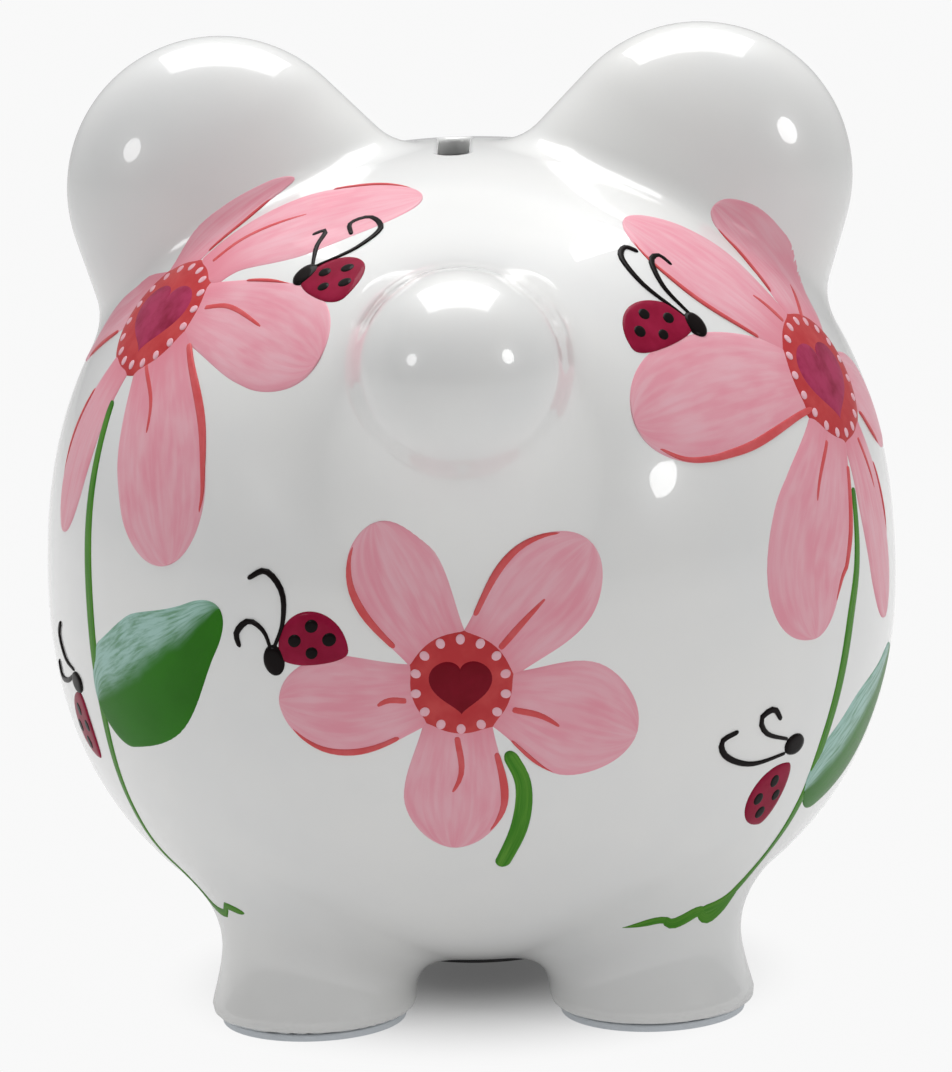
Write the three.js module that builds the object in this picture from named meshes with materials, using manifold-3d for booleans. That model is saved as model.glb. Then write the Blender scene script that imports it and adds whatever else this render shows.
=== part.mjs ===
// Large glazed ceramic piggy bank: a hollow slip-cast pig standing on four short feet,
// with a coin slot in its crown, a stopper in its belly and a pad glued under each foot.
//
// Millimetres. +Z is up and z = 0 is the surface that the bank stands on. The snout points
// along -Y, so +X is at the right hand of somebody who looks the pig in the face. The origin
// is the centre of the footprint.

import * as THREE from 'three';
import { mergeVertices } from 'three/addons/utils/BufferGeometryUtils.js';
import Module from 'manifold-3d';

// ---- Driving dimensions ----------------------------------------------------------------

// Body: a squarish egg, a little wider below its middle.
const BODY = {
  centre: new THREE.Vector3(0, 7, 93.5),
  halfWidth: 90.5,
  halfDepth: 95,
  halfHeight: 86.5,
  power: 2.27, // 2 is an ellipsoid, more is squarer
  taper: 0.034, // how much narrower the top is than the middle
};

// Ears: two fat rounded lobes, each a round-ended cone that is flattened front to back.
const EAR = {
  offset: 50.5, // tip circle's centre, sideways from the body's centre
  rise: 78, // and above it
  back: -3, // and behind it
  tipRadius: 32.4,
  rootRadius: 42.7,
  length: 43,
  lean: THREE.MathUtils.degToRad(31),
  flatness: 0.62, // thickness over width
  blend: 4.6,
};

// Snout: a blunt round bulb that leans up a little. Places are from the body's centre.
const SNOUT = {
  root: new THREE.Vector3(0, -58, 37),
  rootRadius: 31,
  tip: new THREE.Vector3(0, -93, 51),
  tipRadius: 20.5,
  blend: 16,
};

// Feet: four short bell-shaped stubs, cut flat at their soles.
const FOOT = {
  offset: 35.6, // sideways from the middle
  stride: 37, // forward and backward from the body's centre
  soleZ: 1.8,
  soleRadius: 21.2,
  neckRadius: 17.9,
  flareHeight: 25,
  top: 50, // inside the body
  bottom: -14, // where it ends before it is cut
  blend: 11,
};

// Tail: a curl modelled in relief on the rump, thick at its root and thin at its end.
const TAIL = {
  centreRise: 22, // curl's middle above the body's centre
  startRadius: 17,
  endRadius: 4.5,
  turns: 1.35,
  startAngle: THREE.MathUtils.degToRad(-100),
  rootThickness: 5.2,
  tipThickness: 3,
  standOff: 2.2, // tube's centre line outside the rump
};

const WALL = 4.5;

const SLOT = { length: 35, width: 6.4, offset: -1, rimRadius: 1.3, depth: 16 };

const HOLE = { radius: 18, seatRadius: 22.4, seatZ: 8.4, depth: 26 };

const STOPPER = {
  flangeRadius: 21.6,
  flangeTop: 8.1,
  flangeBottom: 6.3,
  barrelRadius: 17,
  beadRadius: 17.65,
  beads: [12.2, 15.6],
  top: 18,
  cupRadius: 14.4,
  cupFloor: 8.6,
  barLength: 21,
  barWidth: 5,
  barBottom: 3.2,
};

const PAD = { radius: 19.3, thickness: 1.5, edge: 0.4 };

// Fineness: subdivisions of the icosahedron that a surface starts from, and its longest edge.
const OUTSIDE_MESH = { detail: 12, longestEdge: 11.5 };
const CAVITY_MESH = { detail: 6, longestEdge: 20 };

// ---- The pig as one smooth solid ----------------------------------------------------------

// Lower of two distances, rounded over a width k where they meet.
function smoothMin(a, b, k) {
  const h = THREE.MathUtils.clamp(0.5 + (0.5 * (b - a)) / k, 0, 1);
  return b * (1 - h) + a * h - k * h * (1 - h);
}

// Distance to a cone with round ends: its tip sphere is at t = 0 and its root sphere at
// t = length, where t runs along the axis and w is the distance from the axis.
function roundCone(t, w, tipRadius, rootRadius, length) {
  const slope = (tipRadius - rootRadius) / length;
  const run = Math.sqrt(1 - slope * slope);
  const k = t * run - w * slope;
  if (k < 0) return Math.hypot(w, t) - tipRadius;
  if (k > run * length) return Math.hypot(w, t - length) - rootRadius;
  return w * run + t * slope - tipRadius;
}

function bodyDistance(x, y, z) {
  const { halfWidth, halfDepth, halfHeight, power, taper } = BODY;
  const narrowing = 1 - (taper * z) / halfHeight;
  const plan = Math.hypot(x / (halfWidth * narrowing), y / (halfDepth * narrowing));
  const gauge = (plan ** power + Math.abs(z / halfHeight) ** power) ** (1 / power);
  const radius = Math.hypot(x, y, z);
  return radius - radius / Math.max(gauge, 1e-6);
}

function earDistance(x, y, z) {
  const side = x - EAR.offset;
  const up = z - EAR.rise;
  const along = -(side * Math.sin(EAR.lean) + up * Math.cos(EAR.lean));
  const across = side * Math.cos(EAR.lean) - up * Math.sin(EAR.lean);
  const away = Math.hypot(across, (y - EAR.back) / EAR.flatness);
  return 0.85 * roundCone(along, away, EAR.tipRadius, EAR.rootRadius, EAR.length);
}

const SNOUT_AXIS = SNOUT.root.clone().sub(SNOUT.tip);
const SNOUT_LENGTH = SNOUT_AXIS.length();
SNOUT_AXIS.normalize();

function snoutDistance(x, y, z) {
  const from = new THREE.Vector3(x, y, z).sub(SNOUT.tip);
  const along = from.dot(SNOUT_AXIS);
  const away = Math.sqrt(Math.max(from.lengthSq() - along * along, 0));
  return roundCone(along, away, SNOUT.tipRadius, SNOUT.rootRadius, SNOUT_LENGTH);
}

// height is above the sole, so this one is measured from the ground and not the centre.
function footDistance(x, y, height) {
  const away = Math.hypot(x - FOOT.offset, y - FOOT.stride);
  const flare = THREE.MathUtils.clamp(1 - height / FOOT.flareHeight, 0, 1) ** 2;
  const radius = FOOT.neckRadius + (FOOT.soleRadius - FOOT.neckRadius) * flare;
  return Math.max(away - radius, height - FOOT.top, FOOT.bottom - height);
}

// Signed distance, in mm, from a point to the pig's outer surface: below 0 inside it. The
// pig is the same left and right, and its front and back feet are the same.
function pigDistance(point) {
  const x = Math.abs(point.x);
  const y = point.y - BODY.centre.y;
  const z = point.z - BODY.centre.z;
  let distance = smoothMin(bodyDistance(x, y, z), earDistance(x, y, z), EAR.blend);
  distance = smoothMin(distance, snoutDistance(x, y, z), SNOUT.blend);
  return smoothMin(distance, footDistance(x, Math.abs(y), point.z - FOOT.soleZ), FOOT.blend);
}

function pigNormal(point) {
  const step = 0.3;
  const normal = new THREE.Vector3();
  for (const axis of ['x', 'y', 'z']) {
    const ahead = point.clone();
    const behind = point.clone();
    ahead[axis] += step;
    behind[axis] -= step;
    normal[axis] = (pigDistance(ahead) - pigDistance(behind)) / (2 * step);
  }
  return normal;
}

// Where a ray from a start point, inside the pig, first reaches the level set.
function castToLevel(start, direction, level) {
  const at = (reach) => start.clone().addScaledVector(direction, reach);
  const stride = 1.5;
  let near = 0;
  while (pigDistance(at(near + stride)) < level) near += stride;
  let far = near + stride;
  for (let i = 0; i < 30; i++) {
    const middle = (near + far) / 2;
    if (pigDistance(at(middle)) < level) near = middle;
    else far = middle;
  }
  return at(near);
}

// ---- Meshes ---------------------------------------------------------------------------

const wasm = await Module();
wasm.setup();

function plainGeometry(geometry) {
  const bare = geometry.clone();
  for (const name of Object.keys(bare.attributes)) {
    if (name !== 'position') bare.deleteAttribute(name);
  }
  return mergeVertices(bare, 1e-4);
}

// A closed geometry as a solid with its faces pointing out, whichever way they pointed.
function toSolid(geometry) {
  const bare = plainGeometry(geometry);
  const triVerts = new Uint32Array(bare.index.array);
  const makeSolid = () => new wasm.Manifold(new wasm.Mesh({
    numProp: 3,
    vertProperties: new Float32Array(bare.attributes.position.array),
    triVerts,
  }));
  const solid = makeSolid();
  if (solid.volume() > 0) return solid;
  triVerts.reverse();
  return makeSolid();
}

function toGeometry(solid) {
  const { vertProperties, triVerts } = solid.getMesh();
  const geometry = new THREE.BufferGeometry();
  geometry.setAttribute('position', new THREE.BufferAttribute(vertProperties, 3));
  geometry.setIndex(new THREE.BufferAttribute(triVerts, 1));
  geometry.computeVertexNormals();
  return geometry;
}

// Splits every edge of a triangle list that is longer than a limit, and puts each new point on
// the level. A triangle is cut into as many pieces as its split edges call for.
function splitLongEdges(points, corners, limit, level) {
  const middles = new Map();
  const middleOf = (a, b) => {
    if (points[a].distanceTo(points[b]) <= limit) return [];
    const key = `${Math.min(a, b)}_${Math.max(a, b)}`;
    if (!middles.has(key)) {
      middles.set(key, points.length);
      points.push(dropToLevel(points[a].clone().lerp(points[b], 0.5), level));
    }
    return [middles.get(key)];
  };
  const result = [];
  for (let i = 0; i < corners.length; i += 3) {
    const [a, b, c] = corners.slice(i, i + 3);
    const [ab, bc, ca] = [middleOf(a, b), middleOf(b, c), middleOf(c, a)];
    const added = [...ab, ...bc, ...ca];
    if (added.length === 3) {
      result.push(a, added[0], added[2], added[0], b, added[1], added[2], added[1], c, ...added);
    } else {
      const ring = [a, ...ab, b, ...bc, c, ...ca];
      const start = Math.max(ring.indexOf(added[0]), 0);
      for (let j = 1; j < ring.length - 1; j++) {
        result.push(ring[start], ring[(start + j) % ring.length], ring[(start + j + 1) % ring.length]);
      }
    }
  }
  return result;
}

// Draws each point along the surface towards the mean of its neighbours.
function evenOut(points, corners, level) {
  const neighbours = points.map(() => new Set());
  for (let i = 0; i < corners.length; i++) {
    const next = i % 3 === 2 ? i - 2 : i + 1;
    neighbours[corners[i]].add(corners[next]);
  }
  const moved = points.map((point, i) => {
    const mean = new THREE.Vector3();
    for (const j of neighbours[i]) mean.add(points[j]);
    return mean.divideScalar(neighbours[i].size).lerp(point, 0.5);
  });
  moved.forEach((point, i) => points[i].copy(dropToLevel(point, level)));
}

// A closed surface at one level of the pig: an icosahedron's points go straight out from the
// body's centre to that level, and long edges, as on the ears, are then split and evened out.
function pigSurface({ detail, longestEdge }, level) {
  const start = plainGeometry(new THREE.IcosahedronGeometry(1, detail));
  const points = [];
  for (let i = 0; i < start.attributes.position.count; i++) {
    const direction = new THREE.Vector3().fromBufferAttribute(start.attributes.position, i);
    points.push(castToLevel(BODY.centre, direction.normalize(), level));
  }
  let corners = [...start.index.array];
  for (let round = 0; round < 4; round++) {
    corners = splitLongEdges(points, corners, longestEdge, level);
    evenOut(points, corners, level);
  }
  const geometry = new THREE.BufferGeometry().setFromPoints(points);
  geometry.setIndex(corners);
  return geometry;
}

// Newton steps along the normal until a point lies on the level.
function dropToLevel(point, level) {
  for (let i = 0; i < 3; i++) {
    const normal = pigNormal(point);
    const error = pigDistance(point) - level;
    point.addScaledVector(normal, -error / Math.max(normal.lengthSq(), 0.05));
  }
  return point;
}

// A closed tube along a curve, made from a sphere: its rings slide along the curve and take
// the radius that radiusAt gives, so both ends are round.
function taperedTube(curve, radiusAt, rings, sides) {
  const geometry = new THREE.SphereGeometry(1, sides, rings);
  const frames = curve.computeFrenetFrames(rings);
  const position = geometry.attributes.position;
  for (let i = 0; i < position.count; i++) {
    const ring = Math.floor(i / (sides + 1));
    const turn = (2 * Math.PI * (i % (sides + 1))) / sides;
    const t = ring / rings;
    const radius = radiusAt(t) * Math.sqrt(Math.max(1 - (2 * t - 1) ** 12, 0));
    const point = curve.getPointAt(t);
    point.addScaledVector(frames.normals[ring], radius * Math.cos(turn));
    point.addScaledVector(frames.binormals[ring], radius * Math.sin(turn));
    position.setXYZ(i, point.x, point.y, point.z);
  }
  return geometry;
}

// ---- Ceramic body ----------------------------------------------------------------------

// The slot's outline, a rectangle with half-round ends, spread outwards by some distance.
function slotOutline(spread) {
  const radius = SLOT.width / 2 + spread;
  const reach = (SLOT.length - SLOT.width) / 2;
  const shape = new THREE.Shape();
  shape.absarc(0, reach, radius, 0, Math.PI);
  shape.absarc(0, -reach, radius, Math.PI, 2 * Math.PI);
  return shape;
}

// Cuts the slot straight down through the crown, and rounds its upper rim: the cutter's top
// rings follow the crown's curve and spread out along a quarter circle.
function slotCutter() {
  const rows = 5;
  const arcSegments = 8;
  const geometry = new THREE.ExtrudeGeometry(slotOutline(0), {
    depth: 1,
    steps: rows,
    bevelEnabled: false,
    curveSegments: arcSegments,
  });
  const { rimRadius, depth } = SLOT;
  const heights = [-depth, -rimRadius, -0.62 * rimRadius, -0.25 * rimRadius, 0, 2];
  const reach = (SLOT.length - SLOT.width) / 2;
  const up = new THREE.Vector3(0, 0, 1);
  const position = geometry.attributes.position;
  for (let i = 0; i < position.count; i++) {
    const level = heights[Math.round(position.getZ(i) * rows)];
    const risen = THREE.MathUtils.clamp(1 + level / rimRadius, 0, 1);
    const spread = rimRadius * (1 - Math.sqrt(1 - risen * risen));
    const spine = THREE.MathUtils.clamp(position.getY(i), -reach, reach);
    const outward = new THREE.Vector2(position.getX(i), position.getY(i) - spine);
    outward.setLength(SLOT.width / 2 + spread);
    const x = SLOT.offset + outward.x;
    const y = BODY.centre.y + spine + outward.y;
    const crown = castToLevel(new THREE.Vector3(x, y, BODY.centre.z), up, 0);
    position.setXYZ(i, x, y, crown.z + level);
  }
  return geometry;
}

// The belly's hole and the flat seat around it.
function holeCutter() {
  const profile = [[0, -1], [HOLE.seatRadius, -1], [HOLE.seatRadius, HOLE.seatZ],
    [HOLE.radius, HOLE.seatZ], [HOLE.radius, HOLE.depth], [0, HOLE.depth]];
  const geometry = new THREE.LatheGeometry(profile.map(([r, z]) => new THREE.Vector2(r, z)), 40);
  geometry.rotateX(Math.PI / 2);
  geometry.translate(0, BODY.centre.y, 0);
  return geometry;
}

// Everything below the soles.
function soleCutter() {
  const size = 400;
  const geometry = new THREE.BoxGeometry(size, size, size);
  geometry.translate(0, 0, FOOT.soleZ - size / 2);
  return geometry;
}

// Curl of the tail: a spiral that follows the rump's surface and starts inside it.
function tailCurve() {
  const back = new THREE.Vector3(0, 1, 0);
  const knots = [];
  const knotCount = 16;
  for (let i = 0; i <= knotCount; i++) {
    const t = i / knotCount;
    const angle = TAIL.startAngle + 2 * Math.PI * TAIL.turns * t;
    const radius = THREE.MathUtils.lerp(TAIL.startRadius, TAIL.endRadius, t);
    const x = radius * Math.cos(angle);
    const z = BODY.centre.z + TAIL.centreRise + radius * Math.sin(angle);
    const knot = castToLevel(new THREE.Vector3(x, BODY.centre.y, z), back, 0);
    const emerging = THREE.MathUtils.smoothstep(t, 0, 0.2);
    knot.y += THREE.MathUtils.lerp(-TAIL.rootThickness, TAIL.standOff, emerging);
    knots.push(knot);
  }
  return new THREE.CatmullRomCurve3(knots);
}

function ceramicBody() {
  const thickness = (t) => THREE.MathUtils.lerp(TAIL.rootThickness, TAIL.tipThickness, t);
  const tail = toSolid(taperedTube(tailCurve(), thickness, 30, 8));
  return toGeometry(
    toSolid(pigSurface(OUTSIDE_MESH, 0))
      .add(tail)
      .subtract(toSolid(soleCutter()))
      .subtract(toSolid(pigSurface(CAVITY_MESH, -WALL)))
      .subtract(toSolid(slotCutter()))
      .subtract(toSolid(holeCutter())),
  );
}

// ---- Stopper and foot pads ----------------------------------------------------------------

// A soft plug: a flange that lies against the belly's seat, a hollow barrel with two beads
// that grip the hole, and a bar across its underside to pull it by.
function bellyStopper() {
  const s = STOPPER;
  const beadHalf = 1;
  const edge = 0.5;
  const profile = [[0, s.flangeBottom], [s.flangeRadius - edge, s.flangeBottom],
    [s.flangeRadius, s.flangeBottom + edge], [s.flangeRadius, s.flangeTop],
    [s.barrelRadius, s.flangeTop]];
  for (const z of s.beads) {
    profile.push([s.barrelRadius, z - beadHalf], [s.beadRadius, z], [s.barrelRadius, z + beadHalf]);
  }
  profile.push([s.barrelRadius, s.top], [s.cupRadius, s.top], [s.cupRadius, s.cupFloor],
    [0, s.cupFloor]);
  const plug = new THREE.LatheGeometry(profile.map(([r, z]) => new THREE.Vector2(r, z)), 36);
  plug.rotateX(Math.PI / 2);
  const outline = new THREE.Shape();
  const reach = (s.barLength - s.barWidth) / 2;
  outline.absarc(reach, 0, s.barWidth / 2, -Math.PI / 2, Math.PI / 2);
  outline.absarc(-reach, 0, s.barWidth / 2, Math.PI / 2, (3 * Math.PI) / 2);
  const bar = new THREE.ExtrudeGeometry(outline, {
    depth: s.flangeBottom - s.barBottom + 1,
    bevelEnabled: false,
    curveSegments: 6,
  });
  bar.translate(0, 0, s.barBottom);
  return toGeometry(toSolid(bar).add(toSolid(plug)));
}

function footPad() {
  const { radius, thickness, edge } = PAD;
  const profile = [[0, 0], [radius - edge, 0], [radius, edge], [radius, thickness - edge],
    [radius - edge, thickness], [0, thickness]];
  const geometry = new THREE.LatheGeometry(profile.map(([r, z]) => new THREE.Vector2(r, z)), 28);
  geometry.rotateX(Math.PI / 2);
  return toGeometry(toSolid(geometry));
}

// ---- Assembly -----------------------------------------------------------------------------

const glaze = new THREE.MeshStandardMaterial({ color: 0xf4f4f1, roughness: 0.08, metalness: 0 });
const softBlack = new THREE.MeshStandardMaterial({ color: 0x2a2a2b, roughness: 0.6, metalness: 0 });
const padRubber = new THREE.MeshStandardMaterial({ color: 0xcfd8dc, roughness: 0.7, metalness: 0 });

function namedMesh(name, geometry, material) {
  const mesh = new THREE.Mesh(geometry, material.clone());
  mesh.name = name;
  return mesh;
}

const bank = new THREE.Group();
bank.add(namedMesh('ceramic_body', ceramicBody(), glaze));

const stopper = namedMesh('stopper', bellyStopper(), softBlack);
stopper.position.y = BODY.centre.y;
bank.add(stopper);

const sides = { left: -1, right: 1 };
const ends = { front: -1, back: 1 };
for (const [end, towardsBack] of Object.entries(ends)) {
  for (const [side, towardsRight] of Object.entries(sides)) {
    const pad = namedMesh(`foot_pad_${end}_${side}`, footPad(), padRubber);
    pad.position.set(towardsRight * FOOT.offset, BODY.centre.y + towardsBack * FOOT.stride, 0);
    bank.add(pad);
  }
}

export default bank;
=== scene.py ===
"""Looks of a large glazed ceramic piggy bank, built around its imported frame.

The bank is one glazed shell on four feet, with a coin slot in its crown, a curl of a tail on
its rump, a soft stopper in its belly and a pad under each foot. Enamel flowers, stems, leaves
and ladybirds are painted over the glaze. Shapes are worked out in millimetres and become metres
when they enter Blender. +Z is up, the snout points along -Y, and +X is at the right hand of
somebody who looks the pig in the face.
"""

from __future__ import annotations

import logging
import math
from collections.abc import Callable, Mapping, Sequence
from dataclasses import dataclass, field
from enum import Enum

import bpy
import numpy as np
from mathutils import Matrix, Vector


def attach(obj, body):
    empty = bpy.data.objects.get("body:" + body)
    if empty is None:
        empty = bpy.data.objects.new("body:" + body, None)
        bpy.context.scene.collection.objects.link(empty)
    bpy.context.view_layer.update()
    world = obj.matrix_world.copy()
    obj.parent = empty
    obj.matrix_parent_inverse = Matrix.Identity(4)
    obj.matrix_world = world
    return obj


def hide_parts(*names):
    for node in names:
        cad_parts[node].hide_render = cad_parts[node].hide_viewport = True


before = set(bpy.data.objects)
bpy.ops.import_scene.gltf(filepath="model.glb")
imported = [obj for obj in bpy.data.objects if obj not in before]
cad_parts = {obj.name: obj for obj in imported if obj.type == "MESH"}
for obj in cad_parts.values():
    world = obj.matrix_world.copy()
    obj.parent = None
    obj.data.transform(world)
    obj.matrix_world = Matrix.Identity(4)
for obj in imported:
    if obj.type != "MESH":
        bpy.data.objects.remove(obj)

log = logging.getLogger("piggy_bank")

Array = np.ndarray
Point = tuple[float, float]
Colour = tuple[float, float, float]

METRES = 0.001
UP = np.array([0.0, 0.0, 1.0])
PIN = 0.02  # radius of a turned profile where it ends at its axis, in mm


class Body(Enum):
    """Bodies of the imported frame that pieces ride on."""

    BANK = "bank"
    STOPPER = "stopper"


class Slot(Enum):
    """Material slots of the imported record."""

    GLAZE = "white_glaze"
    STOPPER = "stopper_rubber"
    PAD = "pad_rubber"
    PETAL = "petal_enamel"
    CORAL = "coral_enamel"
    CRIMSON = "crimson_enamel"
    LEAF = "leaf_enamel"
    BLACK = "black_enamel"


# ---- Small formulas ----


def unit(vectors: Array) -> Array:
    """Each vector divided by its length."""
    return vectors / np.linalg.norm(vectors, axis=-1, keepdims=True)


def smooth_step(low: float, high: float, value: Array) -> Array:
    """0 below low, 1 above high and 3t^2 - 2t^3 between them."""
    share = np.clip((value - low) / (high - low), 0.0, 1.0)
    return share * share * (3.0 - 2.0 * share)


def smooth_min(first: Array, second: Array, width: float) -> Array:
    """Lower of two distances, less width * h * (1 - h) where they are within width."""
    share = np.clip(0.5 + 0.5 * (second - first) / width, 0.0, 1.0)
    return second * (1.0 - share) + first * share - width * share * (1.0 - share)


def round_cone(along: Array, away: Array, tip: float, root: float, length: float) -> Array:
    """Distance to a cone with round ends: a sphere at each end and their common tangents.

    Args:
        along: Place along the axis, 0 at the tip sphere's centre.
        away: Distance from the axis.
        tip: Radius of the sphere at 0.
        root: Radius of the sphere at length.
        length: From one sphere's centre to the other's.

    Returns:
        Distance, below 0 inside.
    """
    slope = (tip - root) / length
    run = math.sqrt(1.0 - slope * slope)
    turn = along * run - away * slope
    flank = away * run + along * slope - tip
    near_tip = np.hypot(away, along) - tip
    near_root = np.hypot(away, along - length) - root
    return np.where(turn < 0.0, near_tip, np.where(turn > run * length, near_root, flank))


def curve_through(points: Sequence[Point], shares: Array) -> Array:
    """Points at shares of the length of a smooth curve through some points.

    The curve is Catmull-Rom: between b and c, with neighbours a and d, it is half of
    2b + (c - a)u + (2a - 5b + 4c - d)u^2 + (3b - a - 3c + d)u^3. It is stepped finely, and
    the steps' running length gives the place of each share.

    Args:
        points: At least two points in a plane.
        shares: 0 at the first point to 1 at the last.

    Returns:
        One point per share.
    """
    fine_steps = 40
    knots = np.asarray(points, float)
    ends = np.vstack([2 * knots[0] - knots[1], knots, 2 * knots[-1] - knots[-2]])
    spans = len(knots) - 1
    place = np.linspace(0.0, spans, fine_steps * spans + 1)
    index = np.minimum(place.astype(int), spans - 1)
    u = (place - index)[:, None]
    a, b, c, d = (ends[index + step] for step in range(4))
    fine = 2 * b + (c - a) * u + (2 * a - 5 * b + 4 * c - d) * u**2 + (3 * b - a - 3 * c + d) * u**3
    fine *= 0.5
    length = np.concatenate([[0.0], np.cumsum(np.linalg.norm(np.diff(fine, axis=0), axis=1))])
    goal = np.asarray(shares) * length[-1]
    return np.stack([np.interp(goal, length, fine[:, 0]), np.interp(goal, length, fine[:, 1])], -1)


def curve_length(points: Sequence[Point]) -> float:
    """Length in mm of the smooth curve through some points."""
    steps = np.diff(curve_through(points, np.linspace(0.0, 1.0, 60)), axis=0)
    return float(np.linalg.norm(steps, axis=1).sum())


def equal_steps(lines: Array, strength: float) -> Array:
    """Slides points along each line, by linear interpolation, towards equal steps.

    Args:
        lines: Points by lines by 3; the first and last point of each line stay.
        strength: 0 leaves the points, 1 makes the steps equal.

    Returns:
        The moved points.
    """
    step = np.linalg.norm(np.diff(lines, axis=0), axis=-1)
    share = np.concatenate([np.zeros((1, lines.shape[1])), np.cumsum(step, axis=0)])
    share /= share[-1]
    even = np.linspace(0.0, 1.0, len(lines))[:, None]
    goal = share * (1 - strength) + even * strength
    moved = np.empty_like(lines)
    for line in range(lines.shape[1]):
        for axis in range(3):
            moved[:, line, axis] = np.interp(goal[:, line], share[:, line], lines[:, line, axis])
    return moved


def cosine_steps(count: int) -> Array:
    """Shares from 0 to 1 that lie closer together near both ends: (1 - cos(pi t)) / 2."""
    return 0.5 - 0.5 * np.cos(np.pi * np.linspace(0.0, 1.0, count))


# ---- Meshes ----


@dataclass
class Patch:
    """A closed surface on a grid of rows, each row a ring, with what its finish reads.

    Attributes:
        grid: Points in mm, rows by ring by 3.
        rows_close: Whether the last row joins the first; if not, both ends are capped.
        along: Share along a brush stroke, per point.
        across: -1 to 1 from side to side of a stroke, per point.
        run: Millimetres along a stroke, per point.
        seed: A number that makes each stroke's streaks its own.
    """

    grid: Array
    rows_close: bool = False
    along: Array | None = None
    across: Array | None = None
    run: Array | None = None
    seed: float = 0.0

    def quads(self) -> Array:
        """Faces between neighbouring rows.

        Returns:
            Four points of each: (row, i), (row, i + 1), (row + 1, i + 1), (row + 1, i).
        """
        rows, ring = self.grid.shape[:2]
        index = np.arange(rows * ring).reshape(rows, ring)
        if self.rows_close:
            index = np.vstack([index, index[:1]])
        turned = np.roll(index, -1, axis=1)
        corners = [index[:-1], turned[:-1], turned[1:], index[1:]]
        return np.stack(corners, -1).reshape(-1, 4)

    def faces(self) -> list[list[int]]:
        """Quads and end caps, turned to point outwards if the enclosed volume says they don't.

        Returns:
            The points of each face.
        """
        rows, ring = self.grid.shape[:2]
        points = self.grid.reshape(-1, 3)
        quads = self.quads()
        a, b, c, d = (points[quads[:, corner]] for corner in range(4))
        volume = (a * np.cross(b, c)).sum() + (a * np.cross(c, d)).sum()
        faces = quads.tolist()
        if not self.rows_close:
            first = list(range(ring))[::-1]
            last = list(range((rows - 1) * ring, rows * ring))
            faces += [first, last]
        return faces if volume > 0.0 else [face[::-1] for face in faces]


def flat_attribute(patches: Sequence[Patch], name: str) -> Array:
    """One of the patches' values at every point.

    Args:
        patches: The patches of a piece.
        name: Field of Patch that holds the value.

    Returns:
        One value per point of all patches, 0 where a patch has none.
    """
    values = []
    for patch in patches:
        shape = patch.grid.shape[:2]
        value = getattr(patch, name)
        values.append(np.broadcast_to(0.0 if value is None else value, shape).ravel())
    return np.concatenate(values)


def make_piece(
    name: str,
    patches: Sequence[Patch],
    material: bpy.types.Material,
    body: Body,
    normals: Callable[[Array, Array], Array] | None = None,
) -> bpy.types.Object:
    """Joins patches into one object that rides on a body.

    Args:
        name: The object's name.
        patches: Closed surfaces, in mm.
        material: Finish of the whole piece.
        body: Body that it moves with.
        normals: Turns points and mesh normals into better normals.

    Returns:
        The new object.
    """
    points = np.concatenate([patch.grid.reshape(-1, 3) for patch in patches])
    faces: list[list[int]] = []
    start = 0
    for patch in patches:
        faces += [[corner + start for corner in face] for face in patch.faces()]
        start += patch.grid.shape[0] * patch.grid.shape[1]
    mesh = bpy.data.meshes.new(name)
    mesh.from_pydata((points * METRES).tolist(), [], faces)
    mesh.polygons.foreach_set("use_smooth", np.ones(len(mesh.polygons), bool))
    for label in ("along", "across", "run", "seed"):
        layer = mesh.attributes.new(label, "FLOAT", "POINT")
        layer.data.foreach_set("value", flat_attribute(patches, label).astype(np.float32))
    mesh.materials.append(material)
    mesh.update()
    if normals is not None:
        measured = np.zeros(len(points) * 3, np.float32)
        mesh.vertices.foreach_get("normal", measured)
        better = normals(points, measured.reshape(-1, 3).astype(float))
        mesh.normals_split_custom_set_from_vertices(better.tolist())
    piece = bpy.data.objects.new(name, mesh)
    bpy.context.scene.collection.objects.link(piece)
    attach(piece, body.value)
    log.info("%s: %d points, %d faces, on %s", name, len(points), len(faces), body.value)
    return piece


def rounded_profile(corners: Sequence[Point], radius: float, steps: int = 6) -> Array:
    """A profile whose inner corners are rounded.

    Each corner P between A and B becomes the curve (1-t)^2 S + 2t(1-t) P + t^2 E, where S and E
    are the points at the radius from P towards A and B, or at most 0.45 of the way.

    Args:
        corners: Points of the profile, from one end to the other.
        radius: Rounding in mm.
        steps: Points per corner.

    Returns:
        The finer profile.
    """
    most = 0.45
    knots = np.asarray(corners, float)
    share = np.linspace(0.0, 1.0, steps)[:, None]
    parts = [knots[:1]]
    for before, here, after in zip(knots[:-2], knots[1:-1], knots[2:]):
        reach_in = min(radius, most * float(np.linalg.norm(before - here)))
        reach_out = min(radius, most * float(np.linalg.norm(after - here)))
        start = here + unit(before - here) * reach_in
        end = here + unit(after - here) * reach_out
        parts.append((1 - share) ** 2 * start + 2 * share * (1 - share) * here + share**2 * end)
    parts.append(knots[-1:])
    return np.concatenate(parts)


def lathe(profile: Array, centre: Point, sides: int) -> Patch:
    """A profile of radius and height carried round an upright axis.

    Args:
        profile: Radius and z of each row.
        centre: Where the axis stands, x and y.
        sides: Points round the axis.

    Returns:
        The turned surface, capped where it starts and ends.
    """
    turn = np.linspace(0.0, 2 * np.pi, sides, endpoint=False)
    radius, height = profile[:, :1], profile[:, 1:]
    x = centre[0] + radius * np.cos(turn)
    y = centre[1] + radius * np.sin(turn)
    z = np.broadcast_to(height, x.shape)
    return Patch(np.stack([x, y, z], -1))


# ---- The pig's form ----


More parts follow.
